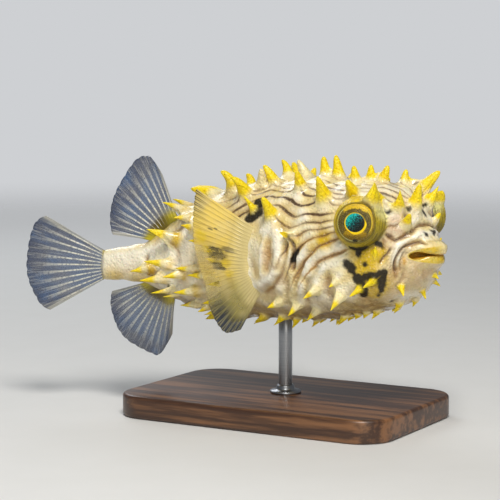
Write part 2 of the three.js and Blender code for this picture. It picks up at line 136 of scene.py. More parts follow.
@dataclass
class BodyPlan:
    """The body in its own coordinates: a station from lips (0) to tail root (1), and an angle.

    The angle is in degrees: 0 is the back, 90 the right flank, 180 the belly, 270 the left flank.
    """

    length: float = 132.0
    nose: tuple[float, float, float] = (51.0, -6.0, 58.0)
    pitch: float = 3.2
    # heading at the head and at the tail in degrees, and the stations that it turns between
    bend: tuple[float, float, float, float] = (-9.0, 19.0, 0.3, 0.85)
    # how boxy a section is; 2 is an ellipse
    power: float = 2.4
    # the muzzle's lift, how far its sides and its jaw stand back, and the station where this ends
    muzzle_rise: float = 2.8
    muzzle_wrap: float = 7.0
    muzzle_tuck: float = 1.0
    muzzle_until: float = 0.13
    # the shoulder's swelling: station, angle, reach along, spread round and height
    shoulder: tuple[float, float, float, float, float] = (0.425, 84.0, 0.085, 36.0, 2.4)
    line_end: float = 1.3
    line_steps: int = 780
    # station, height above and below the middle line, and half width
    outline: tuple[tuple[float, float, float, float], ...] = (
        (0, 3.0, 3.0, 7.6),
        (0.015, 4.4, 5.0, 9.2),
        (0.035, 5.8, 7.9, 11.2),
        (0.06, 10.8, 10.3, 13.6),
        (0.085, 18.8, 11.9, 16.2),
        (0.12, 24.4, 13.6, 18.6),
        (0.18, 27.0, 16.2, 20.4),
        (0.28, 28.0, 18.6, 21.8),
        (0.4, 29.0, 19.6, 22.2),
        (0.52, 28.5, 19.6, 20.8),
        (0.65, 25.5, 18.2, 17.4),
        (0.75, 20.5, 15.8, 13.5),
        (0.83, 12.5, 10.6, 9.0),
        (0.9, 7.2, 6.2, 6.2),
        (1.0, 5.6, 5.2, 3.6),
    )
    shift: Array = field(default_factory=lambda: np.zeros(3))

    def __post_init__(self) -> None:
        """Lays out the bent middle line."""
        steps = self.line_steps
        run = self.line_end / steps
        turn = self.heading((np.arange(steps) + 0.5) * run)
        fall = -math.tan(math.radians(self.pitch)) * np.cos(turn)
        step = np.stack([-np.cos(turn), -np.sin(turn), fall], 1) * run * self.length
        self.line_at = np.linspace(0, self.line_end, steps + 1)
        self.line = np.vstack([self.nose, self.nose + np.cumsum(step, 0)])
        self.knots = np.array(self.outline).T

    def heading(self, at: Array | float) -> Array:
        """The body's heading at a station, in radians."""
        head, tail, start, end = self.bend
        return np.radians(mix(head, tail, ease(at, start, end)))

    def muzzle(self, at: Array | float) -> Array:
        """How much of the muzzle's own shape a station has."""
        return 1 - ease(at, 0.0, self.muzzle_until)

    def centre(self, at: Array | float) -> Array:
        """The middle line's point at a station."""
        at = np.asarray(at, float)
        point = np.stack([np.interp(at, self.line_at, self.line[:, i]) for i in range(3)], -1)
        point[..., 2] += self.muzzle_rise * self.muzzle(at)
        return point + self.shift

    def forward(self, at: Array | float) -> Array:
        """Level unit direction towards the head at a station."""
        h = self.heading(at)
        return np.stack([np.cos(h), np.sin(h), np.zeros_like(h)], -1)

    def left(self, at: Array | float) -> Array:
        """Level unit direction to the fish's left at a station."""
        h = self.heading(at)
        return np.stack([-np.sin(h), np.cos(h), np.zeros_like(h)], -1)

    def set_back(self, angle: Array | float) -> Array:
        """How far the lips and jaw stand back from the nose at an angle."""
        turn = np.radians(angle)
        return self.muzzle_wrap * np.sin(turn) ** 2 + self.muzzle_tuck * np.maximum(-np.cos(turn), 0)

    def round_the_body(self, angle: Array | float) -> tuple[Array, Array]:
        """Sideways and upward shares of a point on the boxy section at an angle."""
        c, s = np.cos(np.radians(angle)), np.sin(np.radians(angle))
        reach = (np.abs(c) ** self.power + np.abs(s) ** self.power) ** (-1 / self.power)
        return s * reach, c * reach

    def surface(self, at: Array | float, angle: Array | float) -> Array:
        """Points on the plain body.

        Args:
            at: Stations.
            angle: Angles in degrees.

        Returns:
            Points in millimetres, one for each pair.
        """
        at, angle = np.broadcast_arrays(np.asarray(at, float), np.asarray(angle, float))
        across, high = self.round_the_body(angle)
        middle, turned, reach, spread, height = self.shoulder
        fold = fold_angle(angle)
        swell = 1 - ((at - middle) / reach) ** 2 - ((fold - turned) / spread) ** 2
        half = through(at, self.knots[0], self.knots[3]) + height * np.maximum(swell, 0) ** 1.5
        top = through(at, self.knots[0], self.knots[1])
        bottom = through(at, self.knots[0], self.knots[2])
        back = self.muzzle(at) * self.set_back(angle)
        point = self.centre(at)
        point = point - self.left(at) * (half * across)[..., None]
        point = point - self.forward(at) * back[..., None]
        return point + UP * (np.where(high > 0, top, bottom) * high)[..., None]

    def skin_frame(self, at: Array | float, angle: Array | float) -> tuple[Array, Array, Array]:
        """Outward normal, tailward tangent and downward-going tangent of the plain skin."""
        at = np.asarray(at, float)
        tail = self.surface(at + 0.004, angle) - self.surface(np.maximum(at - 0.004, 0), angle)
        tail = unit(tail)
        around = unit(self.surface(at, angle + 1.0) - self.surface(at, angle - 1.0))
        normal = unit(np.cross(tail, around))
        return normal, tail, np.cross(normal, tail)

    def trace(self, points: tuple[tuple[float, float], ...]) -> Array:
        """A fine chain of points on the skin through (station, angle) pairs."""
        p = np.array(points, float)
        if len(p) == 1:
            p = np.repeat(p, 2, 0)
        chain = [mix(a, b, t) for a, b in zip(p[:-1], p[1:]) for t in np.arange(12) / 12]
        chain = np.array([*chain, p[-1]])
        return self.surface(chain[:, 0], chain[:, 1])

    def backward(self, at: Array, lift: Array, outward: float, side: Side) -> Array:
        """Direction of a fin ray: lift above straight back and turn away from the body, degrees."""
        lift, out = np.radians(lift)[..., None], math.radians(outward)
        level = -self.forward(at) * math.cos(out) + self.left(at) * math.sin(out) * side.value
        return unit(level * np.cos(lift) + UP * np.sin(lift))


def fold_angle(angle: Array | float) -> Array:
    """The same place's angle on the right flank, from 0 to 180."""
    turned = np.mod(angle, 360.0)
    return np.where(turned > 180, 360 - turned, turned)


def nearness(points: Array, chain: Array, reach: float) -> Array:
    """Distance from each point to a chain, up to a reach.

    Args:
        points: Points to measure.
        chain: Points along a line, in order.
        reach: Beyond this the distance isn't measured.

    Returns:
        Distances, none above reach.
    """
    found = np.full(len(points), reach)
    near = np.all((points > chain.min(0) - reach) & (points < chain.max(0) + reach), axis=1)
    p, a = points[near][:, None], chain[None, :-1]
    run = (chain[1:] - chain[:-1])[None]
    share = np.clip(((p - a) * run).sum(-1) / np.maximum((run * run).sum(-1), 1e-9), 0, 1)
    gap = np.linalg.norm(p - a - run * share[..., None], axis=-1).min(1)
    found[near] = np.minimum(gap, reach)
    return found


# ---------------- what the skin is shaped by


@dataclass(frozen=True)
class Thorn:
    """A kind of spine: its shaft and skirt, how blunt it is, and where its yellow starts."""

    shaft: float
    flare: float
    blunt: float
    cap: float
    skirt: float
    pale_until: float


class Kind(Enum):
    """The kinds of spine on the fish."""

    CREST = Thorn(2.1, 2.3, 0.44, 9.0, 1.0, 0.14)
    PALE = Thorn(2.1, 2.3, 0.42, 8.0, 1.0, 0.85)
    BROAD = Thorn(2.6, 1.9, 0.22, 7.0, 0.9, 0.06)
    FLESHY = Thorn(1.9, 3.0, 0.16, 4.5, 1.1, 0.4)
    CONE = Thorn(1.7, 2.3, 0.16, 4.0, 1.0, 0.4)
    THORN = Thorn(1.8, 2.3, 0.14, 4.0, 1.1, 0.1)
    KNOB = Thorn(1.8, 2.2, 0.6, 6.0, 1.0, 0.34)
    STUB = Thorn(1.3, 1.3, 0.3, 5.0, 0.6, 0.02)


@dataclass(frozen=True)
class Growth:
    """A spine's foot, its length, its lean towards the tail and its drop towards the belly.

    Lean and drop are in degrees; hook bends the tip back by a share of the length.
    """

    at: float
    angle: float
    length: float
    lean: float
    drop: float = 0.0
    hook: float = 0.0


@dataclass(frozen=True)
class Patch:
    """Spines of one kind, on both flanks or each alone."""

    kind: Kind
    paired: tuple[Growth, ...] = ()
    lone: tuple[Growth, ...] = ()


def grown(*rows: tuple[float, ...]) -> tuple[Growth, ...]:
    """Growths from rows of their numbers: at, angle, length, lean, drop and hook."""
    return tuple(Growth(*row) for row in rows)


PATCHES = (
    Patch(
        Kind.CREST,
        paired=grown((0.488, 21, 7.2, 14, 0, 0.12), (0.689, 9, 8.5, 50, -8, 0.15)),
        lone=grown(
            (0.082, 5, 7.6, 43, 6), (0.125, 332, 10, -14, -2), (0.158, 341, 5.2, 10, -4),
            (0.186, 1, 6, -14, -6), (0.206, 36, 7.2, -2, 4), (0.206, 319, 6.2, -2, 4),
            (0.216, 4, 5.2, -2, 2), (0.246, 12, 5.0, 4, 2), (0.328, 357, 7.8, 12, -4),
            (0.369, 358, 6.9, 6, -6), (0.374, 32, 6.7, 0, -8), (0.374, 322, 7, -2, -8),
            (0.436, 56, 8.2, -8, -22, 0.08), (0.45, 340, 4.8, -8, 12), (0.488, 356, 6.5, 8, 10, 0.3),
            (0.563, 35, 8.5, -8, -4, 0.3), (0.563, 319, 7, -8, -4, 0.3), (0.622, 23, 8.7, -16, -4, 0.42),
            (0.622, 331, 7.5, -12, -4, 0.35),
        ),
    ),
    Patch(
        Kind.PALE,
        paired=grown((0.523, 25, 6.5, -12, -8)),
        lone=grown((0.438, 354, 6.9, 24, -6)),
    ),
    Patch(
        Kind.BROAD,
        lone=grown(
            (0.132, 40, 8.5, 8, -14), (0.132, 315, 3.4, 2, -14), (0.282, 42, 8.8, 0, -20),
            (0.282, 314, 8, -4, -20), (0.436, 304, 7.8, -12, -20),
        ),
    ),
    Patch(
        Kind.FLESHY,
        paired=grown(
            (0.764, 24, 8.5, 24, -8, 0.15), (0.745, 41, 6.5, 16, 24, 0.15), (0.718, 57, 7, 4, 0, 0.15),
            (0.669, 70, 8, 16, 0, 0.15), (0.785, 60, 10.5, 16, -24, 0.15), (0.617, 85, 6.5, 16, -8, 0.15),
            (0.797, 88, 8.5, 44, -16, 0.15), (0.865, 96, 7, 36, 8, 0.15), (0.815, 110, 8.5, 44, 8, 0.15),
            (0.786, 123, 8, 40, 8, 0.15), (0.757, 99, 7.5, 20, 4, 0.15), (0.704, 94, 7.5, 60, -14, 0.15),
            (0.668, 100, 7, 60, -8, 0.15), (0.58, 106, 8, 56, 0, 0.15), (0.61, 124, 7.5, 58, 0, 0.2),
            (0.535, 124, 7.5, 58, 0, 0.2), (0.713, 119, 7.5, 64, 0, 0.15), (0.684, 141, 5, 16, -30, 0.15),
            (0.714, 138, 6.5, 66, 0, 0.15), (0.78, 133, 6, 20, -20, 0.15),
        ),
    ),
    Patch(
        Kind.CONE,
        paired=grown(
            (0.356, 70, 5, 32, -12), (0.217, 105, 3.5, 16, 16), (0.212, 121, 7, 12, 8),
            (0.274, 112, 6, 20, 8), (0.301, 137, 5, 36), (0.349, 129, 5.5, 24, 4),
            (0.407, 125, 5, 40, -4),
        ),
    ),
    Patch(
        Kind.THORN,
        paired=grown(
            (0.107, 165, 3.6, 54, 4, 0.2), (0.168, 163, 3.6, 48, 8, 0.2), (0.19, 157, 2.8, 44, 20),
            (0.222, 161, 2.8, 44, 20), (0.249, 155, 4.2, 36, 4, 0.25), (0.361, 167, 3.8, 36, 8, 0.25),
            (0.408, 157, 4.2, 16, 8, 0.25), (0.431, 147, 4.8, 36, 4, 0.2), (0.504, 150, 4.2, 56, 8, 0.2),
            (0.57, 142, 6.5, 54, 0, 0.2), (0.64, 142, 6.5, 54, 0, 0.2), (0.6, 163, 5.5, 54, 0, 0.1),
            (0.67, 163, 5.5, 54, 0, 0.1),
        ),
        lone=grown(
            (0.089, 30, 7.4, 33, 0, 0.06), (0.089, 332, 7.4, 33), (0.3, 172, 3.2, 40),
            (0.3, 188, 2.6, 40), (0.369, 180, 2.8, 40, 0, 0.1), (0.425, 180, 2.8, 40, 0, 0.1),
            (0.55, 180, 5.5, 50, 0, 0.1), (0.635, 180, 5.5, 50, 0, 0.1),
        ),
    ),
    Patch(
        Kind.KNOB,
        lone=grown((0.067, 33, 5.4, 36, -4), (0.066, 329, 4.0, 40, -4)),
    ),
    Patch(
        Kind.STUB,
        paired=grown(
            (0.111, 81, 3.6, -6, -56), (0.116, 109, 5.5, 36, -4), (0.154, 116, 5.5, 24, -4),
            (0.513, 51, 6.3, 12, -32, 0.1),
        ),
        lone=grown(
            (0.024, 180, 2.5, 0), (0.061, 180, 3.4, 20), (0.064, 139, 4.6, 18, 4),
            (0.064, 221, 3.0, 22, 4),
        ),
    ),
)

# past this angle the left flank's twins are this share as long as the right flank's spines
FAR_SHARE, BELOW = 0.8, 145.0


@dataclass(frozen=True)
class Crease:
    """A fold in the skin through (station, angle) points: a sunk line, or a raised one if depth < 0."""

    points: tuple[tuple[float, float], ...]
    depth: float
    width: float
    # how dark the painted shade along the fold's line makes it
    shade_and_marks: float = 0.0


CREASES = (
    # the two folds over the upper lip, and the fleshy rolls that they part
    Crease(
        (
            (0.019, 31), (0.036, 27), (0.038, 43), (0.04, 56), (0.039, 75), (0.046, 90), (0.049, 99),
            (0.05, 112),
        ),
        0.95, 0.6, 1.0,
    ),
    Crease(((0.05, 112), (0.056, 122)), 0.4, 0.6, 0.5),
    Crease(
        (
            (0.06, -8), (0.062, 5), (0.061, 16), (0.056, 27), (0.055, 38), (0.058, 48), (0.063, 57),
            (0.074, 60),
        ),
        1.0, 0.6, 1.0,
    ),
    Crease(
        (
            (0.046, -6), (0.048, 8), (0.049, 20), (0.046, 34), (0.048, 48), (0.051, 62), (0.055, 80),
            (0.06, 98),
        ),
        -0.7, 1.0,
    ),
    Crease(((0.057, 68), (0.059, 85), (0.063, 99)), 0.35, 0.45, 0.35),
    Crease(((0.03, 62), (0.027, 74), (0.028, 88), (0.034, 105), (0.038, 116)), 0.5, 0.4, 0.5),
    Crease(((0.033, 62), (0.033, 76), (0.037, 90), (0.042, 104)), -0.5, 0.6),
    Crease(((0.018, 76), (0.021, 86), (0.024, 98)), 0.35, 0.35, 0.4),
    Crease(((0.0235, 0), (0.024, 20), (0.026, 40), (0.027, 56)), 0.35, 0.5, 0.25),
    # the cheek under and before the eye
    Crease(((0.066, 72), (0.073, 80), (0.084, 84), (0.094, 87)), 0.7, 0.6, 1.0),
    Crease(((0.074, 22), (0.074, 35), (0.074, 44), (0.081, 51), (0.087, 57)), 0.6, 0.5, 0.8),
    Crease(((0.071, 57), (0.079, 60)), 0.7, 0.7, 1.0),
    Crease(((0.084, 66), (0.079, 74)), 0.4, 0.5, 0.4),
    # chin
    Crease(((0.03, 118), (0.045, 128), (0.07, 134)), 0.3, 0.7, 0.3),
    Crease(((0.02, 150), (0.035, 165), (0.035, 195)), 0.25, 0.6, 0.2),
    # soft folds of the cheek that run down towards the gill
    Crease(((0.25, 76), (0.275, 80), (0.295, 86), (0.31, 95), (0.325, 106)), -0.45, 1.3),
    Crease(((0.3, 76), (0.318, 81), (0.332, 89), (0.345, 99), (0.355, 110)), -0.5, 1.2),
    Crease(((0.288, 80), (0.306, 85), (0.32, 92), (0.334, 102), (0.346, 112)), 0.5, 0.7, 0.35),
    Crease(((0.225, 82), (0.25, 86), (0.272, 92), (0.29, 102)), 0.35, 0.8, 0.2),
    Crease(((0.255, 92), (0.262, 100), (0.27, 110), (0.276, 122)), -0.5, 1.6),
    Crease(((0.236, 96), (0.242, 106), (0.247, 118)), 0.4, 1.1, 0.25),
    Crease(((0.205, 98), (0.212, 108), (0.22, 116)), -0.5, 1.7),
    Crease(((0.3, 104), (0.309, 114), (0.316, 126)), 0.5, 0.9, 0.35),
    Crease(((0.32, 108), (0.33, 118), (0.336, 130)), -0.5, 1.4),
    Crease(((0.362, 104), (0.372, 114), (0.382, 126)), 0.4, 0.9, 0.3),
    # gill opening before the pectoral fin
    Crease(((0.352, 70), (0.343, 78), (0.341, 85), (0.346, 92)), 1.3, 0.75, 1.0),
    Crease(((0.36, 68), (0.352, 78), (0.351, 86), (0.357, 95)), -0.5, 0.9),
    # folded pad before the fin's root
    Crease(
        ((0.395, 62), (0.369, 70), (0.365, 84), (0.379, 98), (0.415, 111), (0.45, 116)),
        0.7, 0.7, 0.4,
    ),
    Crease(((0.46, 66), (0.412, 65), (0.389, 74), (0.391, 86), (0.424, 102), (0.462, 108)), -0.9, 1.6),
    Crease(((0.425, 73), (0.42, 82), (0.424, 92)), 0.8, 1.7),
    Crease(((0.402, 78), (0.404, 88), (0.42, 97)), 0.3, 0.5, 0.3),
    Crease(((0.444, 70), (0.449, 82), (0.45, 96)), -0.5, 1.0),
    # where the tail stem comes out of the trunk
    Crease(((0.872, 70), (0.868, 90), (0.862, 112), (0.85, 132)), 0.8, 0.9, 0.5),
    Crease(((0.79, 50), (0.802, 70), (0.8, 92)), -0.7, 1.8),
    Crease(((0.765, 40), (0.775, 60), (0.772, 84)), 0.5, 1.0, 0.2),
    Crease(((0.73, 48), (0.742, 66), (0.74, 88)), -0.6, 1.6),
)


# the coat's stripes in order down the flank: (station, angle, ink) points, ink being the strength there
STROKES = {
    0: ((0.72, 9, 0.2), (0.55, 8, 0.35), (0.4, 8, 0.5), (0.3, 8, 0.45), (0.22, 8, 0.4), (0.16, 4, 0.3)),
    1: (
        (0.75, 20, 0.1), (0.6, 15, 0.3), (0.45, 17, 0.5), (0.39, 20, 0.45), (0.343, 15.5, 0.6),
        (0.312, 19, 0.8), (0.275, 24, 0.8), (0.244, 26, 0.7), (0.215, 21.5, 0.6), (0.195, 19.8, 0.6),
        (0.168, 15, 0.7), (0.153, 10.5, 0.75), (0.126, 8, 0.7), (0.1, 5, 0.5),
    ),
    2: (
        (0.74, 31, 0.1), (0.62, 26, 0.4), (0.555, 27, 0.5), (0.53, 28.5, 0.55), (0.51, 26.5, 0.5),
        (0.46, 22, 0.5), (0.426, 27, 0.6), (0.403, 28, 0.6), (0.375, 25, 0.6), (0.344, 25.5, 0.6),
        (0.3, 29, 0.8), (0.275, 29.5, 0.75), (0.235, 32, 0.7), (0.192, 24.8, 0.5), (0.171, 25, 0.6),
        (0.158, 19.5, 0.8), (0.134, 20, 0.85), (0.107, 16.5, 0.85), (0.094, 9, 0.6),
    ),
    3: (
        (0.73, 42, 0.1), (0.6, 36.5, 0.5), (0.574, 36.5, 0.5), (0.531, 32, 0.5), (0.503, 31, 0.5),
        (0.478, 27, 0.5), (0.44, 30.5, 0.3), (0.38, 31, 0.3), (0.356, 29.5, 0.5), (0.334, 32.5, 0.6),
        (0.32, 33.5, 0.6), (0.265, 35.5, 0.75), (0.224, 37, 0.6), (0.18, 31, 0.1), (0.138, 27.5, 0.85),
        (0.121, 26.5, 0.9), (0.105, 23.5, 0.8), (0.093, 17, 0.6),
    ),
    4: (
        (0.72, 51, 0.1), (0.62, 45, 0.3), (0.591, 43, 0.55), (0.566, 41, 0.6), (0.548, 39, 0.7),
        (0.519, 36.5, 0.7), (0.48, 31.5, 0.8), (0.424, 35, 0.8), (0.389, 36, 0.85), (0.353, 39, 0.9),
        (0.31, 39, 0.8), (0.27, 40, 0.1), (0.23, 41, 0.0), (0.128, 33.5, 0.8), (0.112, 32.5, 0.9),
        (0.1, 30, 0.5), (0.09, 22, 0.9), (0.08, 18, 0.7),
    ),
    5: (
        (0.72, 61, 0.15), (0.61, 51, 0.5), (0.584, 49, 0.9), (0.561, 46.5, 0.9), (0.53, 44, 0.1),
        (0.487, 40.5, 0.8), (0.446, 42, 1.0), (0.409, 42.5, 0.9), (0.379, 45.5, 1.0), (0.361, 47.5, 1.0),
        (0.34, 48.5, 0.9), (0.323, 47, 0.85), (0.3, 45.2, 0.8), (0.265, 46, 0.85), (0.234, 45.7, 0.7),
        (0.105, 39, 0.1),
    ),
    6: (
        (0.6, 58, 0.2), (0.46, 48, 0.2), (0.433, 47.7, 0.6), (0.417, 48.3, 0.6), (0.397, 52, 0.85),
        (0.373, 55.5, 0.9), (0.352, 57, 0.6), (0.336, 56, 0.2), (0.317, 54.4, 1.1), (0.3, 54.6, 1.25),
        (0.28, 54.8, 1.25), (0.262, 54, 1.1), (0.245, 53, 0.0),
    ),
    7: (
        (0.6, 66, 0.1), (0.44, 55, 0.0), (0.399, 60, 0.5), (0.382, 62.3, 0.5), (0.366, 63.7, 0.4),
        (0.34, 62.3, 0.0), (0.3, 59.8, 0.0), (0.26, 58.6, 0.0), (0.23, 57, 0.0),
    ),
    8: (
        (0.228, 61.3, 0.9), (0.247, 63.3, 1.2), (0.267, 64.5, 1.0), (0.283, 64.8, 0.1), (0.299, 65, 1.0),
        (0.318, 66.3, 0.35), (0.334, 69.3, 0.7), (0.349, 72.5, 0.9), (0.359, 76, 1.1), (0.37, 80, 0.3),
        (0.382, 84, 0.4), (0.386, 91, 0.2),
    ),
    9: (
        (0.24, 67, 0.0), (0.272, 69, 0.0), (0.301, 72, 0.4), (0.314, 74.5, 0.9), (0.33, 78, 1.0),
        (0.342, 82.5, 1.2), (0.35, 86.5, 0.6), (0.358, 92, 0.5), (0.37, 100.5, 0.45), (0.384, 108, 0.1),
    ),
    10: (
        (0.213, 70, 0.9), (0.234, 72.3, 1.0), (0.255, 74.5, 1.0), (0.274, 77, 0.9), (0.284, 79.7, 0.8),
        (0.294, 82.5, 0.75), (0.311, 87, 0.75), (0.323, 91.5, 0.7), (0.336, 98, 0.65), (0.348, 105, 0.5),
        (0.362, 113, 0.1),
    ),
    11: (
        (0.183, 78.5, 0.5), (0.209, 80.7, 0.8), (0.236, 83, 0.9), (0.258, 85, 0.8), (0.275, 88.3, 0.6),
        (0.293, 94.3, 0.35), (0.312, 102, 0.3), (0.328, 109.5, 0.1),
    ),
    12: ((0.17, 90, 0.0), (0.2, 91, 0.0), (0.23, 94, 0.0), (0.255, 99, 0.0), (0.28, 110, 0.0)),
    16: ((0.1, 130, 0.0), (0.2, 140, 0.0), (0.35, 150, 0.0), (0.5, 130, 0.0), (0.7, 140, 0.0)),
    20: ((0.2, 178, 0.0), (0.45, 178, 0.0), (0.7, 178, 0.0)),
}


@dataclass(frozen=True)
class Blotch:
    """A near-black mark of the coat: a thick line through (station, angle) points.

    A lone one is on its own flank only.
    """

    points: tuple[tuple[float, float], ...]
    width: float
    lone: bool = False


BLOTCHES = (
    # the mark on the cheek
    Blotch(((0.184, 87), (0.178, 89), (0.172, 91.5)), 1.45),
    Blotch(((0.172, 92), (0.163, 99)), 0.75),
    Blotch(((0.158, 103), (0.153, 108), (0.151, 112)), 1.55),
    Blotch(((0.152, 105), (0.135, 101.5), (0.117, 101), (0.098, 101.5), (0.08, 104)), 0.95),
    Blotch(((0.081, 104), (0.088, 110), (0.094, 115), (0.1, 120)), 1.15),
    Blotch(((0.1, 120), (0.106, 126)), 0.8),
    Blotch(((0.143, 118), (0.149, 123), (0.157, 126)), 1.0),
    Blotch(((0.118, 130.5),), 0.35),
    # round the eye
    Blotch(((0.173, 76.5), (0.157, 77.5), (0.14, 76)), 1.15),
    Blotch(((0.156, 78), (0.154, 80.5)), 1.0),
    Blotch(((0.105, 72), (0.093, 73)), 0.8),
    Blotch(((0.137, 87),), 0.75),
    Blotch(((0.11, 152),), 0.3),
    Blotch(((0.097, 41), (0.09, 38)), 0.42),
    # before the gill, and behind the shoulder
    Blotch(((0.332, 79.5), (0.339, 82), (0.345, 85)), 0.85),
    Blotch(((0.525, 57), (0.513, 56.5), (0.5, 55), (0.487, 53)), 1.5),
    Blotch(((0.515, 51.5), (0.5, 51)), 1.1),
    Blotch(((0.509, 45), (0.498, 46.5)), 1.3),
    Blotch(((0.63, 78), (0.642, 80), (0.65, 82)), 2.3),
    # the dashes of the forehead and snout
    Blotch(((0.082, -10), (0.083, -17), (0.085, -24)), 0.36, lone=True),
    Blotch(((0.074, -6), (0.071, -9)), 0.28, lone=True),
    Blotch(((0.079, -33), (0.076, -38)), 0.3, lone=True),
    Blotch(((0.09, 23), (0.083, 20.5), (0.078, 18)), 0.2, lone=True),
    Blotch(((0.05, 14.5), (0.044, 9)), 0.22),
    Blotch(((0.051, -6.5), (0.048, -10.5)), 0.2, lone=True),
    Blotch(((0.188, 40.5), (0.198, 41.5)), 0.45),
)


@dataclass(frozen=True)
class Wash:
    """A soft patch of yellow: its place, its reach in millimetres and its strength."""

    at: float
    angle: float
    reach: float
    strength: float


def washes(*rows: tuple[float, float, float, float]) -> tuple[Wash, ...]:
    """Soft patches from rows of their numbers: at, angle, reach and strength."""
    return tuple(Wash(*row) for row in rows)


# soft yellow patches of the coat; those low on the tail stem and the broad ones on the rear flank also paint
# the shade there
WASHES = washes(
    (0.136, 91, 5.5, 1.15), (0.118, 115, 6.0, 1.2), (0.103, 80, 4.0, 1.1), (0.128, 82, 4.5, 1.1),
    (0.165, 80, 4.0, 0.6), (0.255, 71, 4.0, 0.85), (0.285, 77, 3.5, 0.55), (0.345, 74, 4.0, 0.6),
    (0.352, 97, 4.5, 0.35), (0.39, 62, 5.0, 0.5), (0.385, 88, 4.0, 0.35), (0.5, 44, 9.0, 0.45),
    (0.57, 60, 12.0, 0.45), (0.65, 40, 12.0, 0.45), (0.68, 85, 12.0, 0.4), (0.62, 110, 9.0, 0.4),
    (0.36, 36, 5.0, 0.35), (0.29, 37, 5.0, 0.35), (0.12, 20, 8.0, 0.25), (0.76, 12, 6.0, 0.5),
    (0.84, 0, 8.0, 0.6), (0.84, 180, 8.0, 0.5), (0.9, 150, 7.0, 0.6), (0.97, 150, 7.0, 0.6),
    (0.9, 190, 7.0, 0.6),
)

ROSES = washes(
    (0.072, 42, 5.5, 0.9), (0.068, 66, 4.0, 0.7), (0.028, 150, 6.0, 0.8), (0.045, 120, 6.0, 0.6),
    (0.07, 135, 6.0, 0.5), (0.3, 92, 5.0, 0.35), (0.423, 83, 5.0, 0.75), (0.45, 104, 6.0, 0.4),
    (0.24, 40, 4.0, 0.3), (0.93, 100, 7.0, 0.6), (0.72, 84, 9.0, 0.4),
)


# ---------------- stripes


@dataclass
class StripeField:
    """A smooth height map over the flank whose whole-number contours are the stripes."""

    per_degree: float = 0.36
    along: float = 132.0
    stiffness: float = 0.02
    spread: float = 2.0
    faint: float = 0.04
    lot: int = 8000

    def __post_init__(self) -> None:
        """Fits a thin bent plate through the strokes' levels."""
        rows = [(level, *point) for level, points in STROKES.items() for point in points]
        level, at, angle, self.ink = np.array(rows, float).T
        self.knots = self.place(at, angle)
        n = len(rows)
        flat = np.column_stack([np.ones(n), self.knots])
        system = np.zeros((n + 3, n + 3))
        system[:n, :n] = self.bending(self.knots) + self.stiffness * n * np.eye(n)
        system[:n, n:], system[n:, :n] = flat, flat.T
        self.weights = np.linalg.solve(system, np.concatenate([level, np.zeros(3)]))

    def place(self, at: Array, angle: Array) -> Array:
        """Stations and angles as roughly true lengths on the flank."""
        return np.column_stack([at * self.along, angle * self.per_degree])

    def bending(self, where: Array) -> Array:
        """The plate's response at each place to a push at each knot."""
        r2 = ((where[:, None] - self.knots[None]) ** 2).sum(-1) + 1e-9
        return 0.5 * r2 * np.log(r2)

    def lots(self, at: Array, angle: Array) -> list[Array]:
        """The places in lots that are small enough for memory."""
        where = self.place(at, angle)
        return np.array_split(where, max(1, len(where) // self.lot))

    def level(self, at: Array, angle: Array) -> Array:
        """The field's height; its fraction tells how far a stripe is."""
        push, rise, slope = self.weights[:-3], self.weights[-3], self.weights[-2:]
        return np.concatenate([self.bending(w) @ push + rise + w @ slope for w in self.lots(at, angle)])

    def strength(self, at: Array, angle: Array) -> Array:
        """The ink of the nearest strokes, fading out far from all of them."""
        found = []
        for where in self.lots(at, angle):
            r2 = ((where[:, None] - self.knots[None]) ** 2).sum(-1)
            pull = np.exp(-r2 / (2 * self.spread**2))
            found.append((pull * self.ink).sum(1) / (pull.sum(1) + self.faint))
        return np.concatenate(found)


# ---------------- spines


